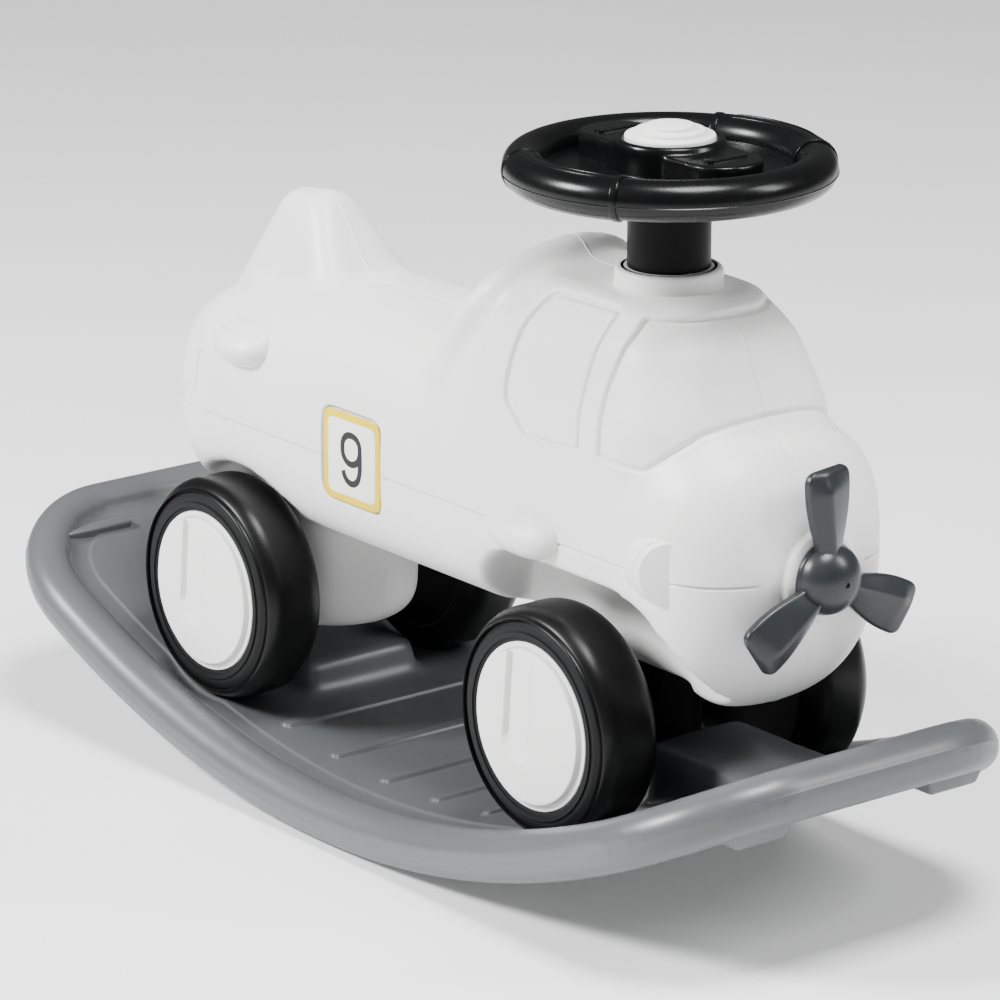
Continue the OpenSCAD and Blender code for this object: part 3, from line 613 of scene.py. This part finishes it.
def body_shell():
    bm = bmesh.new()
    for form in (fuselage, cab, coaming, tail_fin, axle_pod):
        form(bm)
    bm = remeshed(bm, BODY_VOXEL)
    soften(bm, 12)
    roof(bm)
    bm = cut(remeshed(bm, BODY_VOXEL), wheel_room())
    bm = remeshed(bm, BODY_VOXEL)
    soften(bm, 5)
    recesses(bm)
    score(bm, (0, 0, BELT), (0, 0, 1), 3.2, belt_depth)
    score(bm, (0, 0, 0), (0, 1, 0), 1.1, seam_depth)
    piece(bm, "body_moulding", "airframe", BODY_WHITE, nodes=["body_shell"], slot="body_white", crease=60)


def recesses(bm):
    """The windows, the label's bed and the tail slots of both sides, and the windscreen."""
    label = LABEL_SIDE / 2 + 2.2
    frame_line = eased([(LABEL_X + x * label, LABEL_Z + z * label, 11) for x, z in SQUARE])
    for side in (-1, 1):
        panel(bm, side_view, lambda places: (places[:, 1] * side > 40) & (places[:, 2] > 150),
              eased(WINDOW), **GLASS)
        panel(bm, side_view, lambda places: places[:, 1] * side > 60, frame_line, 2.4, 1.0)
        for x in (-214, -243):
            slot_line = eased([(x + across * 6, 137.5 + up * 15.5, 5) for across, up in SQUARE])
            panel(bm, side_view, lambda places: places[:, 1] * side > 30, slot_line, 1.8, 1.6)
    half_screen = [(WRAP * turn, z, rounding) for turn, z, rounding in WINDSHIELD]
    screen = half_screen + [(-x, z, rounding) for x, z, rounding in half_screen[-2::-1]]
    panel(bm, wrap_view, lambda places: (places[:, 0] > 180) & (places[:, 2] > 150), eased(screen), **GLASS)


def pebble(bm, spot, half, side):
    """A lump that swells out of a side, blunt in front and steepest below."""
    made = bmesh.ops.create_uvsphere(bm, u_segments=64, v_segments=40, radius=1)["verts"]
    for vert in made:
        x, y, z = vert.co
        out = y * side
        x = swell(x, 0.72) if x > 0 else swell(x, 1.1)
        out -= 0.42 * smoothstep(z, -0.2, 1)
        vert.co = Vector((
            spot[0] + half[0] * x,
            side * (spot[1] + half[1] * out),
            spot[2] + half[2] * z))


EXHAUST = {"spot": (136, 83, 114), "half": (34, 17, 17)}
TAIL_LIGHT = {"spot": (-170, 77, 167), "half": (28, 17, 15.5)}
LAMP_X = 264
LAMP_Y = 79
LAMP_Z = 118
LAMP_HALF = Vector((31, 16, 21))


def side_lumps():
    """Lumps on the sides: an exhaust, a tail light and a lamp with a flat face."""
    for name, side in SIDES.items():
        bm = bmesh.new()
        pebble(bm, side=side, **EXHAUST)
        pebble(bm, side=side, **TAIL_LIGHT)
        piece(bm, f"side_lumps_{name}", "airframe", BODY_WHITE, slot="body_white")
        bm = bmesh.new()
        at = Matrix.LocRotScale(Vector((LAMP_X, side * LAMP_Y, LAMP_Z)), None, LAMP_HALF)
        bmesh.ops.create_uvsphere(bm, u_segments=96, v_segments=64, radius=1, matrix=at)
        face = Vector((LAMP_X + 4, side * (LAMP_Y + 9), LAMP_Z))
        way = Vector((0.74, side * 0.672, 0))
        bmesh.ops.bisect_plane(bm, geom=everything(bm), plane_co=face, plane_no=way, clear_outer=True)
        brim = [edge for edge in bm.edges if edge.is_boundary]
        bmesh.ops.contextual_create(bm, geom=brim)
        bevel(bm, brim, 1.2)
        score(bm, face - 5 * way, way, 1.4, lambda spot: 0.8)
        piece(bm, f"lamp_{name}", "airframe", BODY_WHITE, slot="body_white")


def column_collar():
    bm = bmesh.new()
    outline = eased([(27, 250, 0), (36, 250, 0), (33.9, 268, 6), (33.7, 277.5, 4), (27, 277.5, 1)], 6)
    join(bm, turned(outline, Matrix.Translation((FRONT_AXLE, 0, 0)), closed=True))
    piece(bm, "column_collar", "airframe", BODY_WHITE, slot="body_white")


def propeller_boss():
    bm = bmesh.new()
    outline = eased([(0, 0, 0), (29, 0, 0), (29, 30, 4), (0, 30, 0)], 5, loop=False)
    join(bm, turned(outline, Matrix.Translation((292, 0, BELT)) @ Matrix.Rotation(TURN / 4, 4, "Y")))
    piece(bm, "propeller_boss", "airframe", BODY_WHITE, slot="body_white")


DIGIT = [
    (8.2, 6.5), (7.6, 11.5), (4.6, 15), (0, 16.2), (-4.6, 15), (-7.7, 11.3), (-8.4, 6.5), (-7.6, 1.6),
    (-4.6, -2), (-0.4, -3.2), (3.6, -2.1), (6.6, 0.6), (8.2, 5),
]
DIGIT_TAIL = [
    (8.2, 6.5), (8.3, 0), (7.9, -7), (6.2, -12.4), (3.2, -15.4), (-0.4, -16.2), (-4, -15), (-6.6, -12.2),
    (-7.8, -8.8),
]
DIGIT_STRETCH = 1.12
DIGIT_STROKE = 4.5


def stroke(bm, points, width, thick):
    """A flat pen stroke through some points, in the plane of X and Y."""
    path = [Vector((x, y, 0)) for x, y in points]

    def at(share):
        place = min(max(share, 0), 1) * (len(path) - 1)
        k = min(int(place), len(path) - 2)
        t = place - k
        p = [path[min(max(k + j, 0), len(path) - 1)] for j in (-1, 0, 1, 2)]
        return 0.5 * (2 * p[1] + (p[2] - p[0]) * t + (2 * p[0] - 5 * p[1] + 4 * p[2] - p[3]) * t * t
                      + (3 * p[1] - p[0] - 3 * p[2] + p[3]) * t ** 3)

    def place(along, turn):
        way = (at(along + 0.004) - at(along - 0.004)).normalized()
        side = Vector((-way.y, way.x, 0))
        angle = TURN * turn
        over = Vector((0, 0, swell(math.sin(angle), 0.5) * thick))
        return at(along) + side * swell(math.cos(angle), 0.5) * width / 2 + over
    sweep(bm, place, 72, 12)


def number_label(name, side):
    """A yellow plate with a white field and the number, facing outwards."""
    face = Matrix.Translation((LABEL_X, side * 82, LABEL_Z))
    if side > 0:
        face = face @ Matrix.Rotation(TURN / 2, 4, "Z")
    face = face @ Matrix.Rotation(TURN / 4, 4, "X")
    layers = [
        ("plate", LABEL_SIDE / 2, 8, 0.05, 1, LABEL_YELLOW),
        ("field", LABEL_SIDE / 2 - 4.8, 6, 0.5, 1.12, LABEL_WHITE),
    ]
    for layer, half, corner, low, high, finish in layers:
        bm = bmesh.new()
        outline = eased([(x * half, y * half, corner) for x, y in SQUARE], 10)
        base = bm.faces.new([bm.verts.new((point[0], point[1], low)) for point in outline])
        grown = bmesh.ops.extrude_face_region(bm, geom=[base])["geom"]
        top = [item for item in grown if isinstance(item, bmesh.types.BMVert)]
        bmesh.ops.translate(bm, vec=(0, 0, high - low), verts=top)
        brim = [edge for edge in bm.edges if all(vert in top for vert in edge.verts)]
        bevel(bm, brim, 0.2, 2, clamp=False)
        piece(bm, f"number_{layer}_{name}", "airframe", finish, AXLES @ face,
              nodes=[f"number_label_{name}"] if layer == "plate" else (), slot="label_yellow", crease=30)
    bm = bmesh.new()
    for line in (DIGIT, DIGIT_TAIL):
        stroke(bm, [(DIGIT_STRETCH * x, y) for x, y in line], DIGIT_STROKE, 0.12)
    piece(bm, f"number_digit_{name}", "airframe", LABEL_INK, AXLES @ face @ Matrix.Translation((0, 0, 1.15)),
          slot="label_yellow", crease=30)


# Rocking board

HALF_LENGTH = 370.5
HALF_WIDTH = 131.5
RIM_R = 17.5
RIM_CORNER = 76
DECK_RISE = 12
DECK_DROP = 16
BOARD_VOXEL = 3.6
WELL_R = 75.8
WELL_W = 53.6
STEER_STEPS = (-18, -9, 0, 9, 18)


def rim_z(x):
    return 14.9 + x * x / 1324


def rim_plan(along, inset=0):
    """A point of the rim's rounded rectangle, by its share of the way round."""
    ax = HALF_LENGTH - RIM_CORNER
    ay = HALF_WIDTH - RIM_CORNER
    corner = RIM_CORNER - inset
    arc = TURN / 4 * corner
    legs = [(2 * ay, 0), (arc, 1), (2 * ax, 2), (arc, 3), (2 * ay, 4), (arc, 5), (2 * ax, 6), (arc, 7)]
    way = (along % 1) * sum(length for length, _ in legs)
    for length, leg in legs:
        if way <= length:
            break
        way -= length
    turn = Matrix.Rotation(TURN / 4 * (leg // 2), 2)
    long_leg = leg % 4 in (2, 3)
    reach, half = (ay, ax) if long_leg else (ax, ay)
    if leg % 2 == 0:
        spot = Vector((reach + corner, way - half))
    else:
        angle = way / corner
        spot = Vector((reach + corner * math.cos(angle), half + corner * math.sin(angle)))
    return turn @ spot


def rim(bm):
    def path(along):
        spot = rim_plan(along)
        return Vector((spot.x, spot.y, rim_z(spot.x)))

    def place(along, turn):
        here = path(along)
        way = (path(along + 0.0005) - path(along - 0.0005)).normalized()
        side = way.cross(Vector((0, 0, 1))).normalized()
        angle = TURN * turn
        return here + RIM_R * (math.cos(angle) * side + math.sin(angle) * way.cross(side))
    sweep(bm, place, 240, 36, closed=True)


def deck(bm):
    part = bmesh.new()
    outline = [rim_plan(k / 120) for k in range(120)]
    base = part.faces.new([part.verts.new((spot.x, spot.y, 0)) for spot in outline])
    grown = bmesh.ops.extrude_face_region(part, geom=[base])["geom"]
    upper = [item for item in grown if isinstance(item, bmesh.types.BMVert)]
    bmesh.ops.translate(part, vec=(0, 0, 1), verts=upper)
    for k in range(-30, 31):
        bmesh.ops.bisect_plane(part, geom=everything(part), plane_co=(k * 12, 0, 0), plane_no=(1, 0, 0))
    for vert in part.verts:
        vert.co.z = rim_z(vert.co.x) + (DECK_RISE if vert.co.z > 0.5 else -DECK_DROP)
    join(bm, part)


def block(bm, back, front, half, top, lean):
    """A block on the deck with one leaning end."""
    made = bmesh.ops.create_cube(bm, size=2)["verts"]
    for vert in made:
        high = vert.co.z > 0
        x = front if vert.co.x > 0 else back
        if high and (vert.co.x > 0) == (lean > 0):
            x -= lean
        vert.co = Vector((x, vert.co.y * half, top if high else rim_z(x) - 4))


def stop_feet(bm):
    """Feet under the ends of the rim, with crisp lower edges."""
    low = rim_z(HALF_LENGTH) - RIM_R
    x = HALF_LENGTH - 17
    y = 78
    half_length = 19
    half_width = 29
    for lengthwise in (-1, 1):
        for side in (-1, 1):
            part = bmesh.new()
            bmesh.ops.create_cube(part, size=2)
            for vert in part.verts:
                share = 1 if vert.co.z > 0 else 0.66
                vert.co = Vector((
                    lengthwise * x + vert.co.x * half_length * share,
                    side * y + vert.co.y * half_width * share,
                    low + (16 if vert.co.z > 0 else -12)))
            bevel(part, part.edges[:], 2.5)
            join(bm, part)


def wheel_wells():
    """Cutters for the wheels' wells in the board, the front ones at several steering angles."""
    bm = bmesh.new()
    lying = Matrix.Rotation(TURN / 4, 4, "X")
    for x, angles in {FRONT_AXLE: STEER_STEPS, REAR_AXLE: [0]}.items():
        for angle in angles:
            axle = Matrix.Translation((x, 0, 0)) @ Matrix.Rotation(math.radians(angle), 4, "Z")
            for side in (-1, 1):
                spot = AXLES @ axle @ Matrix.Translation((0, side * (WHEEL_Y + 1), 0)) @ lying
                bmesh.ops.create_cone(bm, cap_ends=True, segments=96, radius1=WELL_R, radius2=WELL_R,
                                      depth=WELL_W, matrix=spot)
    return bm


def on_deck(places):
    """Whether places lie on the top of the deck, away from the blocks."""
    x, y, z = places.T
    level = rim_z(x)
    return (z > level + 4) & (z < level + 15.5) & (abs(x) < HALF_LENGTH) & (abs(y) < HALF_WIDTH)


def inset(places):
    """Distance in plan inside the middle line of the rim."""
    x = abs(places[:, 0]) - (HALF_LENGTH - RIM_CORNER)
    y = abs(places[:, 1]) - (HALF_WIDTH - RIM_CORNER)
    return RIM_CORNER - np.hypot(np.maximum(x, 0), np.maximum(y, 0)) - np.minimum(np.maximum(x, y), 0)


def deck_edge(places):
    """Distance inside the crease where the deck meets the rim."""
    return np.where(on_deck(places), inset(places) - 13.4, 1e6)


def field_edge(places):
    """Distance inside the line round the field of the deck."""
    return np.where(on_deck(places), inset(places) - 28, 1e6)


def rib_edge(places):
    """Distance outside the edge of the nearest foot rib."""
    x = np.min([abs(places[:, 0] - 54 * k) for k in (-2, -1, 0, 1, 2)], axis=0)
    gap = np.hypot(x, np.maximum(0, abs(places[:, 1]) - 83)) - 4.5
    return np.where(on_deck(places), gap, 1e6)


def parting(places):
    """Height over the parting line round the outside of the rim."""
    return np.where(inset(places) < -8, places[:, 2] - rim_z(places[:, 0]) + 2, 1e6)


def deck_depth(places):
    """The margin of the deck lies lower than its field, with a crease at the rim."""
    edge = deck_edge(places)
    margin = smoothstep(edge, -1, 1) * (1 - smoothstep(field_edge(places), -0.9, 0.9))
    return 1.4 * margin + 1.6 * np.exp(-(edge / 1.5) ** 2)


def rocker_board():
    bm = bmesh.new()
    rim(bm)
    deck(bm)
    block(bm, back=208, front=336, half=38, top=103.5, lean=0)
    block(bm, back=-221, front=-126, half=46, top=64, lean=12)
    bm = remeshed(bm, BOARD_VOXEL)
    soften(bm, 4)
    tool = wheel_wells()
    bmesh.ops.create_cube(tool, size=1000, matrix=Matrix.Translation((0, 0, -500)))
    bm = remeshed(cut(bm, tool), BOARD_VOXEL)
    soften(bm, 3)
    for vert in bm.verts:
        if vert.co.z < 0.4:
            vert.co.z = 0
    refine(bm, rib_edge, 7, 4)
    push_in(bm, lambda places: -2.2 * (1 - smoothstep(rib_edge(places), -1.6, 0.8)))
    refine(bm, deck_edge, 6, 4)
    refine(bm, field_edge, 6, 3)
    push_in(bm, deck_depth)
    refine(bm, parting, 5, 3)
    push_in(bm, lambda places: -0.35 * np.exp(-(parting(places) / 0.8) ** 2))
    stop_feet(bm)
    piece(bm, "board_moulding", "rocker", BOARD_GREY, FLOOR, nodes=["rocker_board"], slot="board_grey",
          crease=60)


# Wheels

def tyre():
    """A round shoulder on both sides, and outside a lip round the rim."""
    bulge = 15.5
    angles = [k * TURN / 60 for k in range(11)]
    shoulder = [(59.5 + bulge * math.cos(angle), 9.5 + bulge * math.sin(angle)) for angle in angles]
    outer = [point for point in shoulder if point[0] > 69.4]
    lip = [
        (69, 21.2), (68.7, 20.9), (68.5, 22.6), (67.7, 23.2), (67.2, 22.6), (67.2, 19.5), (60, 19.5),
        (60, -25),
    ]
    inner = [(radius, -out) for radius, out in reversed(shoulder)]
    return turned([(75, 0)] + outer + lip + inner, sides=144, closed=True)


def wheel_rim():
    """The ring that shows round the cap, the barrel, the web and the hub."""
    outlines = [
        eased([(54.4, 19.6, 0), (66.8, 19.6, 0), (66.8, 20.4, 0), (62.6, 22.8, 1.2), (54.4, 22.8, 0.8)]),
        eased([(56.8, -25, 1), (59.8, -25, 1), (59.8, 24, 0), (56.8, 24, 0)]),
        eased([(5.3, -4, 0), (58, -4, 0), (58, 4, 0), (5.3, 4, 0)]),
        eased([(5.3, -27, 0.8), (14, -27, 1.5), (14, 10, 1.5), (5.3, 10, 0)]),
    ]
    bm = bmesh.new()
    for outline in outlines:
        join(bm, turned(outline, sides=144, closed=True))
    return bm


CAP_FACE = 25
SLOT_X = -9
SLOT_TILT = math.radians(4)
SLOT_FOOT = -6
SLOT_TOP = 44
SLOT_SLOPE = 8


def cap_slot(places):
    """Way across and along the slot that is drawn on a hub cap."""
    tilt = SLOT_TILT
    x = places[:, 0] - SLOT_X
    y = places[:, 1]
    return x * math.cos(tilt) - y * math.sin(tilt), x * math.sin(tilt) + y * math.cos(tilt)


def slot_edge(places):
    """Distance outside the slot of a hub cap, on its face."""
    across, along = cap_slot(places)
    side = np.hypot(across, np.minimum(0, along - SLOT_FOOT)) - 12.6
    top = along - SLOT_TOP + 0.18 * across
    return np.where(places[:, 2] > CAP_FACE, np.maximum(side, top), 1e6)


def slot_depth(places):
    """The slot is steep at its sides, with a rill along them, and slopes up at its lower end."""
    across, along = cap_slot(places)
    below = np.minimum(0, along - SLOT_FOOT)
    reach = np.hypot(across, below)
    slope = SLOT_SLOPE * smoothstep(-below / np.maximum(reach, 0.001), 0, 1)
    inside_top = 1 - smoothstep(along - SLOT_TOP + 0.18 * across, -1.2, 0)
    recess = 2.4 * (1 - smoothstep(reach, 12, 12.9 + slope))
    rill = 1.6 * np.exp(-((reach - 11.4) / 1.3) ** 2) * (1 - slope / SLOT_SLOPE)
    return np.where(places[:, 2] > CAP_FACE, inside_top * (recess + rill), 0)


def hub_cap():
    """A domed face with a slot, and a ring round it."""
    face = [(radius, 27 - 0.8 * (radius / 49) ** 2) for radius in np.arange(0, 47.5, 1.1)]
    edge = [
        (47.9, 26.3, 0), (49.4, 26.1, 1.2), (49.7, 22, 0.3), (50.2, 22, 0.3), (50.4, 22.8, 0.4),
        (54, 22.8, 0.9), (54, 20.2, 0), (0, 20.2, 0),
    ]
    bm = turned(face + eased(edge, 4, loop=False), sides=180)
    refine(bm, slot_edge, 4, 2)
    for vert, depth in zip(bm.verts, slot_depth(spots(bm))):
        vert.co.z -= depth
    return bm


WHEEL_PIECES = {
    "tyre": (tyre(), "tyre_rubber", TYRE_BLACK, "tyre_black", 50),
    "wheel_rim": (wheel_rim(), "rim_ring", RIM_DARK, "rim_dark", 40),
    "hub_cap": (hub_cap(), "cap", TRIM_WHITE, "trim_white", 40),
}


def wheel(corner):
    lengthwise = FRONT_AXLE if corner.startswith("front") else REAR_AXLE
    side = 1 if corner.endswith("left") else -1
    at = AXLES @ Matrix.Translation((lengthwise, side * WHEEL_Y, 0))
    at = at @ Matrix.Rotation(-side * TURN / 4, 4, "X")
    if side > 0:
        at = at @ Matrix.Rotation(TURN / 2, 4, "Z")
    for node, (shape, name, finish, slot, crease) in WHEEL_PIECES.items():
        piece(shape.copy(), f"{corner}_{name}", f"{corner}_wheel", finish, at, nodes=[f"{corner}_{node}"],
              slot=slot, crease=crease)


# Steering

GRIP_R = 12.8
GRIP_LINE_R = 13.3
GRIP_END = 30.5


def grip_ring():
    """The rim, thicker at the two hand grips, which end in collars and carry two fine lines on top."""
    bm = bmesh.new()

    def place(along, turn):
        angle = TURN * along
        off = math.degrees(math.asin(abs(math.cos(angle))))
        radius = GRIP_R + 0.6 * (1 - smoothstep(off, GRIP_END - 0.3, GRIP_END + 0.9))
        out = GRIP_RING + radius * math.cos(TURN * turn)
        return Vector((out * math.cos(angle), out * math.sin(angle), radius * math.sin(TURN * turn)))

    sweep(bm, place, 480, 48, closed=True)
    score(bm, (0, 0, -2), (0, 0, 1), 1.2, lambda spot: 0.6 if math.hypot(spot.x, spot.y) > GRIP_RING else 0)
    for side in (-1, 1):
        for lean in (76, 108):
            def line(along, turn):
                angle = side * TURN / 4 + math.radians(48 * (along - 0.5))
                thick = 0.9 * math.sqrt(max(0.02, 1 - (2 * along - 1) ** 8))
                reach = GRIP_LINE_R + thick * math.cos(TURN * turn)
                tilt = math.radians(lean) + thick * math.sin(TURN * turn) / GRIP_LINE_R
                out = GRIP_RING + reach * math.cos(tilt)
                return Vector((out * math.cos(angle), out * math.sin(angle), reach * math.sin(tilt)))
            sweep(bm, line, 60, 10)
        for end in (-1, 1):
            outline = eased([(11, -2.2, 0), (14, -2.2, 0.7), (14, 2.2, 0.7), (11, 2.2, 0)])
            at = Matrix.Rotation(side * TURN / 4 + end * math.radians(GRIP_END), 4, "Z")
            at = at @ Matrix.Translation((GRIP_RING, 0, 0)) @ Matrix.Rotation(-TURN / 4, 4, "X")
            join(bm, turned(outline, at, closed=True))
    return bm


def wheel_core():
    """The hub, the two spokes with their long pads, and the roots of the spokes on the rim."""
    bm = bmesh.new()
    for way in (-1, 1):
        spoke = bmesh.new()
        rows = [(way * x, side * y, z, radius) for x, y, radius in ((24, 19, 7), (50, 2, 23))
                for side in (-1, 1) for z in (-8, 14)]
        hulled(spoke, discs(spoke, rows, 48))
        join(bm, spoke)
    angles = [k * TURN / 24 for k in range(24)]
    root_r = 11.2
    root = [(GRIP_RING + root_r * math.cos(angle), root_r * math.sin(angle)) for angle in angles]
    join(bm, turned(root, sides=120, closed=True))
    hub = [(0, -10, 0), (34.8, -10, 2), (34.8, 19, 6), (28.8, 18.6, 1.5), (28.8, 12, 0), (0, 12, 0)]
    join(bm, turned(eased(hub, 6, loop=False)))
    bm = remeshed(bm, 1.2)
    soften(bm, 4)
    for way in (-1, 1):
        pad = bmesh.new()
        hulled(pad, discs(pad, [(way * 52, side * 12, z, 4) for side in (-1, 1) for z in (12, 15.2)], 32))
        upper = [edge for edge in pad.edges if all(vert.co.z > 14 for vert in edge.verts)]
        brim = [edge for edge in upper if edge.calc_face_angle(0) > 1]
        bevel(pad, brim, 0.6)
        join(bm, pad)
    return bm


def wheel_floor():
    """The floor between the hub and the rim, with fine lines along both."""
    groove = ((0.4, 0), (0, -0.6), (-0.4, 0))
    grooves = [(middle + x, z) for middle in (76, 73, 38) for x, z in groove]
    return turned([(33, -3), (79, -3), (79, 0)] + grooves + [(33, 0)], sides=120, closed=True)


def steering_wheel():
    at = AXLES @ Matrix.Translation((FRONT_AXLE, 0, GRIP_Z))
    bm = grip_ring()
    join(bm, wheel_core())
    piece(bm, "steering_wheel", "steering", STEERING_BLACK, at,
          nodes=["steering_wheel_lower", "steering_wheel_upper"], slot="steering_black", crease=45)
    piece(wheel_floor(), "steering_wheel_dish", "steering", STEERING_BLACK, at,
          nodes=["steering_wheel_floor"], slot="steering_black", crease=25)


def horn_button():
    steps = [
        (0, 9, 0), (28.2, 9, 0), (28.2, 20.4, 1.6), (22.4, 20.8, 0.5), (22, 23.4, 1.2), (15.4, 23.7, 0.5),
        (15, 26.3, 1.2), (0, 26.6, 0),
    ]
    at = AXLES @ Matrix.Translation((FRONT_AXLE, 0, GRIP_Z))
    piece(turned(eased(steps, 4, loop=False)), "horn_push", "horn", TRIM_WHITE, at, nodes=["horn_button"],
          slot="trim_white", crease=30)


# Propeller

FIRST_BLADE = 3
BLADE_PITCH = 4


def blade_ring(along):
    """A section of a blade: a ridge in front, thick soft edges and a rounded tip."""
    z = 12 + 59 * (1 - (1 - along) ** 1.7)
    past = max(0, z - 63) / 8
    widening = 7.8 * math.sin(TURN / 4 * min(1, max(0, z - 20) / 40))
    half = 9.5 + widening - 8 * (1 - math.sqrt(max(0, 1 - past * past)))
    thin = max(0, z - 67) / 4
    thin = math.sqrt(max(0.03, 1 - thin * thin))
    ridge = 7.5 - 4.5 * smoothstep(z, 56, 70)
    corners = [(-half, -4.5, 1.6), (half, -4.5, 1.6), (half, 1, 2), (-0.3 * half, ridge, 3), (-half, 1, 2)]
    return [Vector((-1.5 + (x + 1.5) * thin, y, z)) for y, x in eased(corners, 5)]


def propeller():
    bm = bmesh.new()
    angles = [k * TURN / 80 for k in range(3, 21)]
    pit = [(0, 19.5), (1.5, 19.5), (1.9, 20.9)]
    dome = [(22.4 * math.sin(angle), 3 + 18 * math.cos(angle)) for angle in angles]
    flange = [(23, 2.4), (23, 0), (0, 0)]
    join(bm, turned(pit + dome + flange, Matrix.Rotation(TURN / 4, 4, "Y")))
    for k in range(3):
        part = bmesh.new()
        loft(part, [blade_ring(step / 30) for step in range(31)])
        turn = Matrix.Rotation(math.radians(FIRST_BLADE + 120 * k), 4, "X")
        pitch = Matrix.Rotation(math.radians(BLADE_PITCH), 4, "Z")
        part.transform(turn @ Matrix.Translation((6.2, 0, 0)) @ pitch)
        join(bm, part)
    at = AXLES @ Matrix.Translation((PROPELLER_X, 0, BELT))
    piece(bm, "propeller_moulding", "spinner", PROPELLER_GREY, at, nodes=["propeller"],
          slot="propeller_grey", crease=50)


# Pieces that keep their solids

KEPT = {
    "upper_column_bush": BODY_WHITE,
    "lower_column_bush": GEAR_BLACK,
    "rear_axle_bushes": GEAR_BLACK,
    "front_axle_yoke": GEAR_BLACK,
    "steering_column": COLUMN_BLACK,
    "horn_bellows": BELLOWS_RUBBER,
}


def finish_kept_nodes():
    for name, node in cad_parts.items():
        if node.hide_render:
            continue
        node.data.materials.clear()
        node.data.materials.append(KEPT.get(name, STEEL))


# Stage

def area_light(name, spot, target, size, power):
    data = bpy.data.lights.new(name, "AREA")
    data.energy = power
    data.shape = "RECTANGLE"
    data.size, data.size_y = size
    lamp = bpy.data.objects.new(name, data)
    lamp.location = spot
    lamp.rotation_euler = (Vector(target) - Vector(spot)).to_track_quat("-Z", "Y").to_euler()
    bpy.context.collection.objects.link(lamp)


def stage():
    bm = bmesh.new()
    bmesh.ops.create_grid(bm, x_segments=2, y_segments=2, size=12)
    ground = as_object(bm, "floor")
    ground.location.z = -0.0005
    ground.data.materials.append(floor_finish("floor"))
    middle = (0, 0, 0.25)
    area_light("left", (-1.1, -2.4, 2.2), middle, (0.9, 0.8), 250)
    area_light("right", (2.0, 1.5, 2.0), middle, (0.5, 1.2), 55)
    area_light("top", (0.9, 0.0, 3.0), middle, (1.0, 1.0), 150)
    world = bpy.data.worlds.new("studio")
    world.use_nodes = True
    world.node_tree.nodes["Background"].inputs["Color"].default_value = (1, 1, 1, 1)
    world.node_tree.nodes["Background"].inputs["Strength"].default_value = 0.12
    bpy.context.scene.world = world


def camera():
    data = bpy.data.cameras.new("photo_camera")
    data.sensor_width = 36
    data.lens = 199.08
    data.clip_end = 50
    made = bpy.data.objects.new("photo_camera", data)
    made.location = (2.7074, -2.1196, 1.2536)
    made.rotation_euler = Vector((-0.75152, 0.59139, -0.29237)).to_track_quat("-Z", "Y").to_euler()
    bpy.context.collection.objects.link(made)
    bpy.context.scene.camera = made


camera()
stage()
body_shell()
side_lumps()
column_collar()
propeller_boss()
for label_name, label_side in SIDES.items():
    number_label(label_name, label_side)
rocker_board()
for wheel_corner in ("front_right", "front_left", "rear_right", "rear_left"):
    wheel(wheel_corner)
steering_wheel()
horn_button()
propeller()
finish_kept_nodes()
